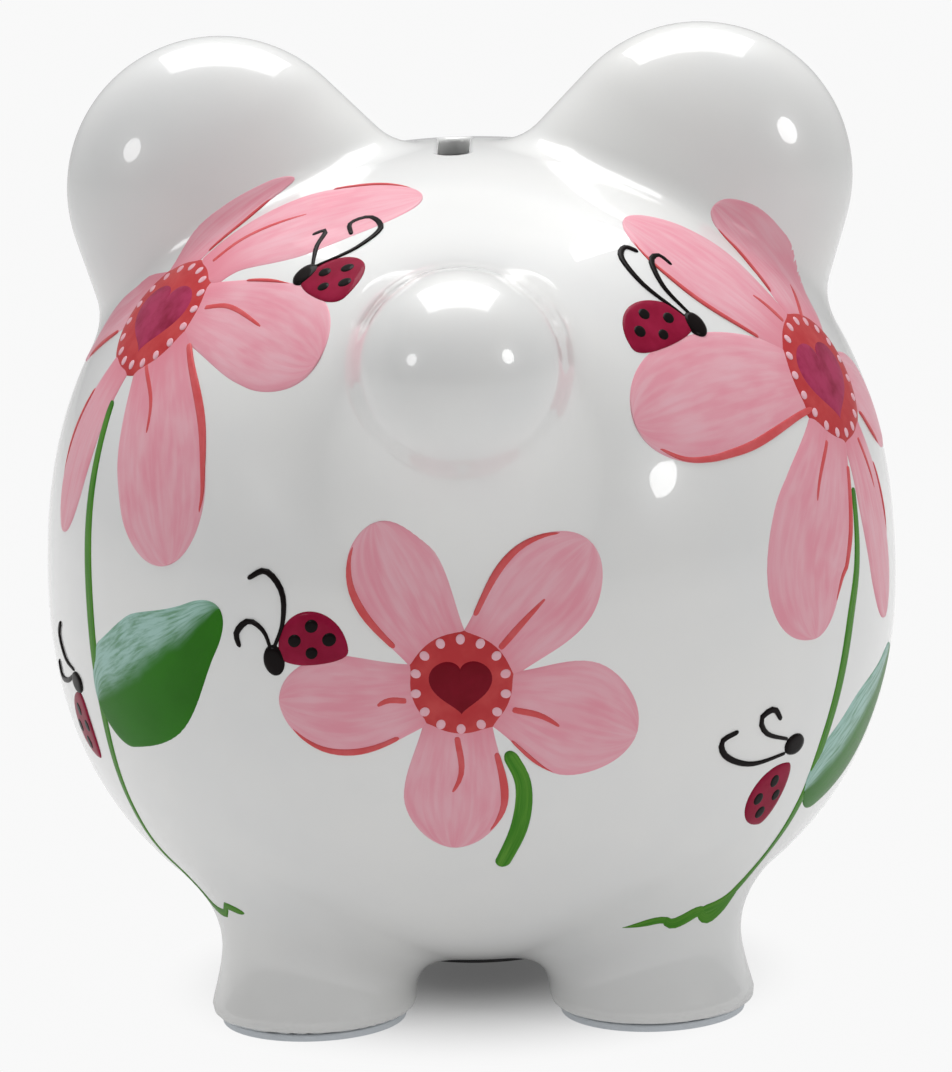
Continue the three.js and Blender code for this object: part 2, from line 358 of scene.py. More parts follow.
@dataclass(frozen=True)
class PigForm:
    """The pig's outer skin as a level set, in mm, the same left and right.

    A squarish egg, two flattened round cones for ears, a round cone for the snout and four
    flared stubs for feet melt into each other through smooth_min.
    """

    centre: tuple[float, float, float] = (0.0, 7.0, 93.5)
    half_width: float = 90.5
    half_depth: float = 95.0
    half_height: float = 86.5
    power: float = 2.27
    taper: float = 0.034
    ear_offset: float = 50.5
    ear_rise: float = 78.0
    ear_back: float = -3.0
    ear_tip_radius: float = 32.4
    ear_root_radius: float = 42.7
    ear_length: float = 43.0
    ear_lean: float = math.radians(31.0)
    ear_flatness: float = 0.62
    ear_caution: float = 0.85
    ear_blend: float = 4.6
    snout_root: tuple[float, float, float] = (0.0, -58.0, 37.0)
    snout_root_radius: float = 31.0
    snout_tip: tuple[float, float, float] = (0.0, -93.0, 51.0)
    snout_tip_radius: float = 20.5
    snout_blend: float = 16.0
    foot_offset: float = 35.6
    foot_stride: float = 37.0
    foot_top: float = 50.0
    foot_blend: float = 11.0
    neck_radius: float = 17.9
    sole_radius: float = 22.2
    sole_height: float = 1.8
    sole_rounding: float = 3.4
    flare_height: float = 25.0

    def body(self, x: Array, y: Array, z: Array) -> Array:
        """Radius less the radius of the egg on the same ray.

        The egg is (plan^p + |z / height|^p) = 1, where plan is the distance from the axis over
        a radius that narrows by taper * z / height.

        Args:
            x: Sideways from the pig's centre.
            y: Backwards from it.
            z: Upwards from it.

        Returns:
            Distance, below 0 inside.
        """
        narrowing = 1.0 - self.taper * z / self.half_height
        plan = np.hypot(x / (self.half_width * narrowing), y / (self.half_depth * narrowing))
        gauge = (plan**self.power + np.abs(z / self.half_height) ** self.power) ** (1 / self.power)
        radius = np.sqrt(x * x + y * y + z * z)
        return radius - radius / np.maximum(gauge, 1e-6)

    def ear(self, x: Array, y: Array, z: Array) -> Array:
        """Round cone along the leaning axis, with its thickness squeezed front to back.

        Squeezing makes the distance too long to step by, so it is shortened by ear_caution.

        Args:
            x: Sideways from the pig's centre.
            y: Backwards from it.
            z: Upwards from it.

        Returns:
            Distance, below 0 inside.
        """
        side = x - self.ear_offset
        rise = z - self.ear_rise
        sine, cosine = math.sin(self.ear_lean), math.cos(self.ear_lean)
        along = -(side * sine + rise * cosine)
        across = side * cosine - rise * sine
        away = np.hypot(across, (y - self.ear_back) / self.ear_flatness)
        cone = round_cone(along, away, self.ear_tip_radius, self.ear_root_radius, self.ear_length)
        return self.ear_caution * cone

    def snout(self, x: Array, y: Array, z: Array) -> Array:
        """Round cone from the snout's tip back into the head.

        Args:
            x: Sideways from the pig's centre.
            y: Backwards from it.
            z: Upwards from it.

        Returns:
            Distance, below 0 inside.
        """
        tip = np.array(self.snout_tip)
        axis = np.array(self.snout_root) - tip
        length = float(np.linalg.norm(axis))
        axis = axis / length
        offset = np.stack([x, y, z], -1) - tip
        along = offset @ axis
        away = np.sqrt(np.maximum((offset * offset).sum(-1) - along * along, 0.0))
        return round_cone(along, away, self.snout_tip_radius, self.snout_root_radius, length)

    def foot(self, x: Array, y: Array, height: Array) -> Array:
        """Upright stub whose radius grows by the square of its closeness to the ground.

        Args:
            x: Sideways from the pig's centre.
            y: Forwards or backwards from it, as a distance.
            height: Upwards from the sole.

        Returns:
            Distance, below 0 inside.
        """
        away = np.hypot(x - self.foot_offset, y - self.foot_stride)
        flare = np.clip(1.0 - height / self.flare_height, 0.0, 1.0) ** 2
        radius = self.neck_radius + (self.sole_radius - self.neck_radius) * flare
        return np.maximum(away - radius, height - self.foot_top)

    def distance(self, points: Array) -> Array:
        """Signed distance to the skin, below 0 inside the pig.

        Args:
            points: Points in mm, any shape ending in 3.

        Returns:
            One distance per point.
        """
        x = np.abs(points[..., 0] - self.centre[0])
        y = points[..., 1] - self.centre[1]
        z = points[..., 2] - self.centre[2]
        height = points[..., 2] - self.sole_height
        result = smooth_min(self.body(x, y, z), self.ear(x, y, z), self.ear_blend)
        result = smooth_min(result, self.snout(x, y, z), self.snout_blend)
        result = smooth_min(result, self.foot(x, np.abs(y), height), self.foot_blend)
        return -smooth_min(-result, height, self.sole_rounding)

    def normal(self, points: Array) -> Array:
        """Unit vectors out of the skin, from differences of distance over a short step."""
        return unit(self.slope(points))

    def slope(self, points: Array) -> Array:
        """Gradient of distance, by central differences.

        Args:
            points: Points in mm, any shape ending in 3.

        Returns:
            One gradient per point.
        """
        step = 0.15
        parts = []
        for axis in np.eye(3) * step:
            parts.append(self.distance(points + axis) - self.distance(points - axis))
        return np.stack(parts, -1) / (2 * step)

    def settle(self, points: Array, level: float = 0.0, rounds: int = 2) -> Array:
        """Moves points along the gradient to a level, by Newton steps.

        Args:
            points: Points in mm, any shape ending in 3.
            level: Distance to bring them to.
            rounds: Number of steps.

        Returns:
            The moved points.
        """
        flattest = 0.05
        for _ in range(rounds):
            slope = self.slope(points)
            error = self.distance(points) - level
            points = points - slope * (error / np.maximum((slope**2).sum(-1), flattest))[..., None]
        return points

    def cast(self, start: Array, direction: Array, level: float = 0.0) -> Array:
        """Where rays from inside first reach a level: each step is as long as the distance.

        Args:
            start: Ray starts, inside the pig.
            direction: Unit directions.
            level: Distance to stop at.

        Returns:
            Points on the level.
        """
        first_reach, rounds = 10.0, 56
        start, direction = np.broadcast_arrays(start, direction)
        reach = np.full(direction.shape[:-1], first_reach)
        for _ in range(rounds):
            reach = reach - (self.distance(start + reach[..., None] * direction) - level)
        return start + reach[..., None] * direction

    def respace(self, grid: Array, rounds: int, strength: float = 0.7) -> Array:
        """Slides a grid's points along its own columns and rows towards equal steps.

        Args:
            grid: Rows by ring by 3; rings are closed.
            rounds: How many times to respace columns, then rows.
            strength: Share of the way to equal steps.

        Returns:
            The respaced grid, on the skin.
        """
        for _ in range(rounds):
            columns = equal_steps(grid, strength)
            grid = np.concatenate([grid[:1], self.settle(columns[1:-1]), grid[-1:]])
            rings = np.concatenate([grid, grid[:, :1]], 1).swapaxes(0, 1)
            rows = equal_steps(rings, strength)[:-1].swapaxes(0, 1)
            grid = np.concatenate([grid[:1], self.settle(rows[1:-1]), grid[-1:]])
        return grid

    def even_out(self, grid: Array, rounds: int, level: float = 0.0) -> Array:
        """Slides a grid's points along the skin until they are evenly spaced both ways.

        A point moves by a share of the mean of its two neighbours' offsets along the row, each
        weighted by its length, and the same along the column, and then settles on the level
        again. The first and last row stay.

        Args:
            grid: Rows by ring by 3; rings are closed.
            rounds: How many times to move all points.
            level: Level that the points lie on.

        Returns:
            The evened grid.
        """
        strength = 0.4
        for _ in range(rounds):
            here = grid[1:-1]
            pairs = (
                (np.roll(grid, 1, axis=1)[1:-1] - here, np.roll(grid, -1, axis=1)[1:-1] - here),
                (grid[:-2] - here, grid[2:] - here),
            )
            move = np.zeros_like(here)
            for back, ahead in pairs:
                back_length = np.linalg.norm(back, axis=-1, keepdims=True)
                ahead_length = np.linalg.norm(ahead, axis=-1, keepdims=True)
                total = np.maximum(back_length + ahead_length, 1e-9)
                move += strength * (back * back_length + ahead * ahead_length) / total
            grid = np.concatenate([grid[:1], self.settle(here + move, level, 1), grid[-1:]])
        return grid


@dataclass(frozen=True)
class Chart:
    """A flat sheet laid on the pig, for painting.

    The sheet touches the pig where a ray at an azimuth from the snout's side, and an elevation,
    leaves it. A point of the sheet, p to the right and q up, lies on the ray that is turned from
    that one by its distance from the sheet's middle over the sheet's radius.
    """

    form: PigForm
    azimuth: float
    elevation: float
    radius: float = 90.0
    mirrored: bool = False

    def axes(self) -> tuple[Array, Array, Array]:
        """Directions at the middle of the sheet.

        Returns:
            Outward, rightward and upward unit vectors.
        """
        turn, rise = math.radians(self.azimuth), math.radians(self.elevation)
        right = np.array([math.cos(turn), math.sin(turn), 0.0])
        ahead = np.array([math.sin(turn), -math.cos(turn), 0.0])
        out = ahead * math.cos(rise) + UP * math.sin(rise)
        top = UP * math.cos(rise) - ahead * math.sin(rise)
        return out, -right if self.mirrored else right, top

    def place(self, flat: Array, lift: Array) -> Array:
        """Points of the sheet on the pig.

        Args:
            flat: Points p, q in mm, any shape ending in 2.
            lift: Millimetres out of the skin, per point.

        Returns:
            Points in space, in mm.
        """
        out, right, top = self.axes()
        away = np.maximum(np.linalg.norm(flat, axis=-1, keepdims=True), 1e-9)
        angle = away / self.radius
        sideways = (flat[..., :1] * right + flat[..., 1:] * top) / away
        ray = np.cos(angle) * out + np.sin(angle) * sideways
        skin = self.form.cast(np.array(self.form.centre), ray)
        return skin + self.form.normal(skin) * np.asarray(lift)[..., None]


# ---- Shader graphs ----


class Wire:
    """An output of a shader graph; arithmetic on it adds Math nodes."""

    def __init__(self, graph: Graph, socket: bpy.types.NodeSocket) -> None:
        """Wraps a socket of a graph."""
        self.graph = graph
        self.socket = socket

    def _join(self, operation: str, first: object, second: object) -> Wire:
        """A Math node's result for two values or wires."""
        return self.graph.add("ShaderNodeMath", {"operation": operation}, {0: first, 1: second})

    def __add__(self, other: object) -> Wire:
        """This plus other."""
        return self._join("ADD", self, other)

    def __radd__(self, other: object) -> Wire:
        """Other plus this."""
        return self._join("ADD", other, self)

    def __sub__(self, other: object) -> Wire:
        """This less other."""
        return self._join("SUBTRACT", self, other)

    def __rsub__(self, other: object) -> Wire:
        """Other less this."""
        return self._join("SUBTRACT", other, self)

    def __mul__(self, other: object) -> Wire:
        """This times other."""
        return self._join("MULTIPLY", self, other)

    def between(self, low: float, high: float) -> Wire:
        """0 where this is at or below low, 1 at or above high and smooth between them."""
        return self.graph.add(
            "ShaderNodeMapRange",
            {"interpolation_type": "SMOOTHSTEP"},
            {"Value": self, "From Min": low, "From Max": high},
        )


class Graph:
    """Node tree of one material or of the world."""

    def __init__(self, tree: bpy.types.NodeTree) -> None:
        """Clears a tree to build in."""
        self.tree = tree
        tree.nodes.clear()

    def add(
        self,
        kind: str,
        settings: Mapping[str, object] | None = None,
        sockets: Mapping[int | str, object] | None = None,
        output: int | str = 0,
    ) -> Wire:
        """Adds a node.

        Args:
            kind: The node's type.
            settings: Properties, set before the sockets.
            sockets: Values or wires by socket name or number.
            output: Output to return.

        Returns:
            The chosen output.
        """
        node = self.tree.nodes.new(kind)
        for name, value in (settings or {}).items():
            setattr(node, name, value)
        for key, value in (sockets or {}).items():
            if isinstance(value, Wire):
                self.tree.links.new(value.socket, node.inputs[key])
            else:
                node.inputs[key].default_value = value
        return Wire(self, node.outputs[output]) if node.outputs else Wire(self, None)

    def read(self, name: str) -> Wire:
        """A number that the mesh carries at its points."""
        return self.add("ShaderNodeAttribute", {"attribute_name": name}, output="Fac")

    def vector(self, x: object, y: object, z: object) -> Wire:
        """Three numbers as a vector."""
        return self.add("ShaderNodeCombineXYZ", None, {"X": x, "Y": y, "Z": z})

    def place(self) -> Wire:
        """Object coordinates, in metres."""
        return self.add("ShaderNodeTexCoord", output="Object")

    def noise(self, at: Wire, scale: float, detail: float = 2.0, roughness: float = 0.5) -> Wire:
        """Smooth noise of about 0 to 1 at a place."""
        sockets = {"Vector": at, "Scale": scale, "Detail": detail, "Roughness": roughness}
        return self.add("ShaderNodeTexNoise", None, sockets)

    def mix(self, factor: object, first: object, second: object) -> Wire:
        """Colour between two colours."""
        sockets = {0: factor, 6: self._colour(first), 7: self._colour(second)}
        return self.add("ShaderNodeMix", {"data_type": "RGBA"}, sockets, 2)

    @staticmethod
    def _colour(value: object) -> object:
        """A colour with its alpha, or a wire as it is."""
        return value if isinstance(value, Wire) else (*value, 1.0)

    def bump(self, height: Wire, depth: float, strength: float = 1.0) -> Wire:
        """Normals of a surface that is raised by height times depth in metres."""
        sockets = {"Height": height, "Distance": depth, "Strength": strength}
        return self.add("ShaderNodeBump", None, sockets)

    def surface(self, sockets: Mapping[int | str, object]) -> None:
        """Ends a material in a Principled shader with these sockets."""
        shader = self.add("ShaderNodeBsdfPrincipled", None, sockets)
        self.add("ShaderNodeOutputMaterial", None, {"Surface": shader})


def new_graph(name: str) -> tuple[bpy.types.Material, Graph]:
    """A new material.

    Args:
        name: Its name.

    Returns:
        The material and its empty graph.
    """
    material = bpy.data.materials.new(name)
    material.use_nodes = True
    return material, Graph(material.node_tree)


def linear(red: float, green: float, blue: float) -> Colour:
    """Linear colour from 0 to 255 display values."""
    values = (np.array([red, green, blue]) / 255.0).tolist()
    return tuple(v / 12.92 if v <= 0.04045 else ((v + 0.055) / 1.055) ** 2.4 for v in values)


class Coating:
    """A finish by name, which makes its material."""

    name: str

    def dress(self, graph: Graph) -> None:
        """Adds the finish's own nodes to a material's graph."""
        raise NotImplementedError

    def make(self) -> bpy.types.Material:
        """Builds the material.

        Returns:
            The material.
        """
        material, graph = new_graph(self.name)
        self.dress(graph)
        return material


@dataclass(frozen=True)
class WhiteGlaze(Coating):
    """Clear glossy glaze on white earthenware, with faint waves, clouds and a few pinholes."""

    name: str = "white_glaze"
    white: Colour = (0.80, 0.80, 0.785)
    cloud: Colour = (0.765, 0.77, 0.765)
    pinhole: Colour = (0.30, 0.27, 0.24)

    def dress(self, graph: Graph) -> None:
        """Adds clouds, waves, peel and pinholes."""
        place = graph.place()
        clouds = graph.noise(place, scale=22.0, detail=3.0, roughness=0.55)
        waves = graph.noise(place, scale=60.0, detail=1.0)
        peel = graph.noise(place, scale=420.0, detail=1.0)
        cells = graph.add("ShaderNodeTexVoronoi", None, {"Vector": place, "Scale": 95.0})
        chosen = graph.noise(place, scale=31.0, detail=0.0).between(0.66, 0.70)
        holes = (1.0 - cells.between(0.018, 0.034)) * chosen
        colour = graph.mix(clouds.between(0.35, 0.72), self.white, self.cloud)
        graph.surface({
            "Base Color": graph.mix(holes * 0.8, colour, self.pinhole),
            "Roughness": 0.26 + clouds * 0.10,
            "Coat Weight": 1.0 - holes * 0.7,
            "Coat Roughness": 0.03,
            "Coat IOR": 1.5,
            "Specular IOR Level": 0.5,
            "Normal": graph.bump(waves + peel * 0.05 - holes * 0.6, 0.00022),
        })


def finish_brushwork(graph: Graph, colour: Wire, bristles: Wire) -> None:
    """Ends a material in thinly coated enamel that the bristles have ridged.

    Args:
        graph: The material's graph.
        colour: Its colour.
        bristles: Marks of the brush, 0 to 1.
    """
    graph.surface({
        "Base Color": colour,
        "Roughness": 0.30 + bristles * 0.12,
        "Specular IOR Level": 0.05,
        "Coat Weight": 0.16,
        "Coat Roughness": 0.05,
        "Normal": graph.bump(bristles, 0.00005),
    })


@dataclass(frozen=True)
class BrushedEnamel(Coating):
    """Enamel put on with a loaded brush: streaks that follow the stroke, and a darker root.

    Attributes:
        name: Material name.
        deep: Colour between streaks.
        pale: Colour of the streaks.
        root: Colour where the stroke starts.
        root_reach: Share of the stroke that the root's colour fades over.
        streaks: How strongly streaks show, 0 to 1.
    """

    name: str
    deep: Colour
    pale: Colour
    root: Colour
    root_reach: float = 0.35
    streaks: float = 1.0

    def dress(self, graph: Graph) -> None:
        """Adds the colours and the marks in them."""
        along, across = graph.read("along"), graph.read("across")
        run, seed = graph.read("run"), graph.read("seed")
        hairs = graph.vector(across * 2.8, run * 0.035, seed)
        bristles = graph.noise(hairs, scale=3.0, detail=3.0, roughness=0.5)
        broad = graph.vector(across * 1.1, run * 0.05, seed + 4.0)
        pools = graph.noise(broad, scale=1.6, detail=2.0)
        streak = bristles.between(0.34, 0.70) * 0.5 + pools.between(0.30, 0.66) * 0.5
        colour = graph.mix(streak * self.streaks, self.deep, self.pale)
        rooted = (1.0 - along.between(0.0, self.root_reach)) * (0.45 + bristles * 0.5)
        finish_brushwork(graph, graph.mix(rooted, colour, self.root), bristles)


@dataclass(frozen=True)
class LeafEnamel(Coating):
    """Green enamel with a pale sweep of the brush along one side."""

    name: str = "leaf_enamel"
    deep: Colour = linear(46, 124, 14)
    shade: Colour = linear(36, 98, 10)
    sweep: Colour = linear(168, 204, 196)

    def dress(self, graph: Graph) -> None:
        """Adds the green, the sweep and the bristles' marks."""
        along, across = graph.read("along"), graph.read("across")
        run, seed = graph.read("run"), graph.read("seed")
        hairs = graph.vector(across * 5.0, run * 0.05, seed)
        bristles = graph.noise(hairs, scale=3.0, detail=4.0, roughness=0.6)
        broad = graph.vector(across * 0.8, run * 0.06, seed + 2.0)
        wander = graph.noise(broad, scale=1.4, detail=2.0)
        band = (across + (wander - 0.5) * 0.5 - along * 0.12).between(-0.12, 0.42)
        broken = 0.35 + bristles.between(0.25, 0.62) * 0.6
        sweep = band * broken * (1.0 - along.between(0.93, 1.0) * 0.5)
        green = graph.mix(wander, self.deep, self.shade)
        finish_brushwork(graph, graph.mix(sweep, green, self.sweep), bristles)


@dataclass(frozen=True)
class PlainEnamel(Coating):
    """One colour of enamel with brush marks in its thickness and a little unevenness.

    Attributes:
        name: Material name.
        colour: Main colour.
        thin: Colour where the coat is thin.
        coat: Gloss coat, 0 to 1.
    """

    name: str
    colour: Colour
    thin: Colour
    coat: float = 0.12

    def dress(self, graph: Graph) -> None:
        """Adds the colours and the marks in them."""
        place = graph.place()
        coarse = graph.noise(place, scale=160.0, detail=3.0, roughness=0.6)
        fine = graph.noise(place, scale=900.0, detail=2.0)
        graph.surface({
            "Base Color": graph.mix(coarse.between(0.35, 0.75), self.colour, self.thin),
            "Roughness": 0.28 + fine * 0.12,
            "Specular IOR Level": 0.04,
            "Coat Weight": self.coat,
            "Coat Roughness": 0.06,
            "Normal": graph.bump(coarse + fine * 0.3, 0.00006),
        })


@dataclass(frozen=True)
class Rubber(Coating):
    """Moulded rubber with a fine grain, paler where it is worn.

    Attributes:
        name: Material name.
        colour: Main colour.
        worn: Colour of the worn patches.
        roughness: Middle roughness.
    """

    name: str
    colour: Colour
    worn: Colour
    roughness: float = 0.6

    def dress(self, graph: Graph) -> None:
        """Adds the colours and the marks in them."""
        place = graph.place()
        grain = graph.noise(place, scale=1800.0, detail=2.0)
        wear = graph.noise(place, scale=90.0, detail=4.0, roughness=0.6)
        graph.surface({
            "Base Color": graph.mix(wear.between(0.48, 0.72), self.colour, self.worn),
            "Roughness": self.roughness + (grain - 0.5) * 0.2,
            "Normal": graph.bump(grain, 0.00006),
        })


# ---- Ceramic ----


@dataclass(frozen=True)
class CeramicShell:
    """The glazed shell: skin, rounded coin slot, inside, and belly hole with its seat.

    It is one grid. Each row is a ring round the pig and the rows run from the seat's edge up
    the skin to the slot, down the slot, down the inside, and out through the belly hole.
    """

    form: PigForm
    columns: int = 384
    skin_rows: int = 177
    rim_rows: int = 7
    inside_steps: int = 21
    edge_rows: int = 4
    coarseness: int = 4
    coarse_respacing: int = 14
    coarse_evening: int = 6
    fine_respacing: int = 2
    fine_evening: int = 8
    wall: float = 4.5
    slot_length: float = 35.0
    slot_width: float = 6.4
    slot_offset: float = -1.0
    slot_rim: float = 1.3
    hole_radius: float = 18.0
    seat_height: float = 8.4
    seat_edge: float = 0.5
    seat_width: float = 2.0

    def turns(self, columns: int) -> Array:
        """Azimuth of each column, 0 towards the snout."""
        return np.linspace(0.0, 2 * np.pi, columns, endpoint=False)

    def slot_ring(self, columns: int, spread: float) -> Array:
        """The slot's outline, a rectangle with half-round ends, spread outwards.

        Args:
            columns: Points round the outline, by equal lengths from the end near the snout.
            spread: Millimetres outside the clear opening.

        Returns:
            x and y of each point.
        """
        radius = self.slot_width / 2 + spread
        straight = self.slot_length - self.slot_width
        arc = np.pi * radius
        run = self.turns(columns) / (2 * np.pi) * 2 * (straight + arc)
        run = (run + arc / 2) % (2 * (straight + arc))
        far = run >= straight + arc
        local = np.where(far, run - straight - arc, run)
        turn = np.clip(local, 0.0, arc) / radius
        slide = np.clip(local - arc, 0.0, straight)
        x = -radius * np.cos(turn)
        y = -straight / 2 - radius * np.sin(turn) + slide
        x, y = np.where(far, -x, x), np.where(far, -y, y)
        return np.stack([x + self.slot_offset, y + self.form.centre[1]], -1)

    def above(self, flat: Array, level: float) -> Array:
        """Points of a level straight above x, y places."""
        start = np.concatenate([flat, np.full_like(flat[..., :1], self.form.centre[2])], -1)
        return self.form.cast(start, UP, level)

    def ring_at(self, radius: float, height: float) -> Array:
        """A flat ring round the belly hole.

        Args:
            radius: Its radius, in mm.
            height: Its z, in mm.

        Returns:
            One point per column.
        """
        turn = self.turns(self.columns)
        y = self.form.centre[1] - radius * np.cos(turn)
        return np.stack([radius * np.sin(turn), y, np.full_like(turn, height)], -1)

    def seat_ring(self, columns: int) -> Array:
        """Where the belly's skin passes the height of the flat seat, found by halving a span.

        Args:
            columns: Points round the ring.

        Returns:
            One point per column.
        """
        nearest, farthest, halvings = 5.0, 30.0, 30
        turn = self.turns(columns)
        start = np.array([self.form.centre[0], self.form.centre[1], self.seat_height])
        out = np.stack([np.sin(turn), -np.cos(turn), np.zeros_like(turn)], -1)
        near, far = np.full(columns, nearest), np.full(columns, farthest)
        for _ in range(halvings):
            middle = (near + far) / 2
            inside = self.form.distance(start + middle[:, None] * out) < 0.0
            near, far = np.where(inside, middle, near), np.where(inside, far, middle)
        return start + near[:, None] * out

    def skin(self) -> Array:
        """Rows of the outer skin, from the seat's edge to the slot's rim.

        A coarse grid is cast from the centre, on rays whose elevation goes evenly from one edge
        to the other and whose azimuth turns to the slot's outline over the last rows, and is
        evened out. The full grid is interpolated from it and evened out again.

        Returns:
            Points, rows by columns by 3.
        """
        centre = np.array(self.form.centre)
        few = self.columns // self.coarseness
        steps = (self.skin_rows - 1) // self.coarseness + 1
        low = self.seat_ring(few)
        high = self.above(self.slot_ring(few, self.slot_rim), 0.0)
        low_ray, high_ray = unit(low - centre), unit(high - centre)
        share = np.linspace(0.0, 1.0, steps)[:, None]
        rise = np.arcsin(low_ray[:, 2]) * (1 - share) + np.arcsin(high_ray[:, 2]) * share
        plan_low = unit(low_ray[:, :2])
        plan_high = unit(high_ray[:, :2])
        late = smooth_step(0.75, 1.0, share)[..., None]
        plan = unit(plan_low * (1 - late) + plan_high * late)
        rays = np.concatenate([plan * np.cos(rise)[..., None], np.sin(rise)[..., None]], -1)
        grid = self.form.cast(centre, rays)
        grid[0], grid[-1] = low, high
        grid = self.form.respace(grid, self.coarse_respacing)
        grid = self.form.even_out(grid, self.coarse_evening)
        rows = np.linspace(0.0, steps - 1.0, self.skin_rows)
        grid = self._between_rows(grid, rows)
        columns = np.arange(self.columns) / self.coarseness
        wrapped = np.concatenate([grid, grid[:, :1]], 1)
        grid = self._between_rows(wrapped.swapaxes(0, 1), columns).swapaxes(0, 1)
        grid[0] = self.seat_ring(self.columns)
        grid[-1] = self.above(self.slot_ring(self.columns, self.slot_rim), 0.0)
        grid[1:-1] = self.form.settle(grid[1:-1])
        grid = self.form.respace(grid, self.fine_respacing)
        return self.form.even_out(grid, self.fine_evening)

    @staticmethod
    def _between_rows(grid: Array, places: Array) -> Array:
        """Rows at fractional places, in straight lines between whole ones.

        Args:
            grid: Rows by ring by 3.
            places: Row numbers, which may lie between whole ones.

        Returns:
            One row per place.
        """
        index = np.minimum(places.astype(int), len(grid) - 2)
        share = (places - index)[:, None, None]
        return grid[index] * (1 - share) + grid[index + 1] * share

    def slot_rows(self) -> list[Array]:
        """Rows over the slot's quarter-round rim and down its wall.

        Returns:
            The rows, from the skin inwards.
        """
        rows = []
        for angle in np.linspace(0.0, np.pi / 2, self.rim_rows + 1)[1:]:
            spread = self.slot_rim * (1 - math.sin(angle))
            crown = self.above(self.slot_ring(self.columns, spread), 0.0)
            rows.append(crown - UP * self.slot_rim * (1 - math.cos(angle)))
        floor = self.above(self.slot_ring(self.columns, 0.0), -self.wall)
        return rows + [rows[-1] * (1 - share) + floor * share for share in (0.35, 0.7, 1.0)]

    def inside_rows(self, start: Array, end: Array) -> list[Array]:
        """Rows down the inside, from the slot's lower edge to the hole's upper edge.

        Args:
            start: The slot's lower edge.
            end: The hole's upper edge.

        Returns:
            The rows between them.
        """
        centre = np.array(self.form.centre)
        first, last = unit(start - centre), unit(end - centre)
        rows = []
        for share in np.linspace(0.0, 1.0, self.inside_steps + 1)[1:-1]:
            rise = np.arcsin(first[:, 2]) * (1 - share) + np.arcsin(last[:, 2]) * share
            early = float(smooth_step(0.0, 0.25, np.array(share)))
            plan = unit(first[:, :2] * (1 - early) + last[:, :2] * early)
            ray = np.concatenate([plan * np.cos(rise)[:, None], np.sin(rise)[:, None]], -1)
            rows.append(self.form.cast(centre, ray, -self.wall))
        return rows

    def hole_rows(self) -> list[Array]:
        """Rows down the wall of the belly hole, over its edge and out across the flat seat.

        Returns:
            The rows, from the inside outwards.
        """
        rim = self.ring_at(self.hole_radius, self.seat_height)
        start = np.concatenate([rim[:, :2], np.full((len(rim), 1), self.form.centre[2])], -1)
        top = self.form.cast(start, -UP, -self.wall)
        rows = [top, (top + rim + UP * self.seat_edge) / 2]
        for angle in np.linspace(0.0, np.pi / 2, self.edge_rows):
            radius = self.hole_radius + self.seat_edge * (1 - math.cos(angle))
            rows.append(self.ring_at(radius, self.seat_height + self.seat_edge * (1 - math.sin(angle))))
        rows.append(self.ring_at(self.hole_radius + self.seat_width, self.seat_height))
        return rows

    def build(self, glaze: bpy.types.Material) -> bpy.types.Object:
        """Builds the shell and hides the node that it stands for.

        Args:
            glaze: Its finish.

        Returns:
            The shell.
        """
        skin = self.skin()
        slot = self.slot_rows()
        hole = self.hole_rows()
        inside = self.inside_rows(slot[-1], hole[0])
        grid = np.concatenate([skin, np.stack(slot), np.stack(inside), np.stack(hole)])
        smooth_points = skin.shape[0] * skin.shape[1]

        def normals(points: Array, measured: Array) -> Array:
            """The form's own normals on the skin, and the mesh's elsewhere."""
            measured[:smooth_points] = self.form.normal(points[:smooth_points])
            return measured

        patch = Patch(grid, rows_close=True)
        shell = make_piece("ceramic_shell", [patch], glaze, Body.BANK, normals)
        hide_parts("ceramic_body")
        return shell


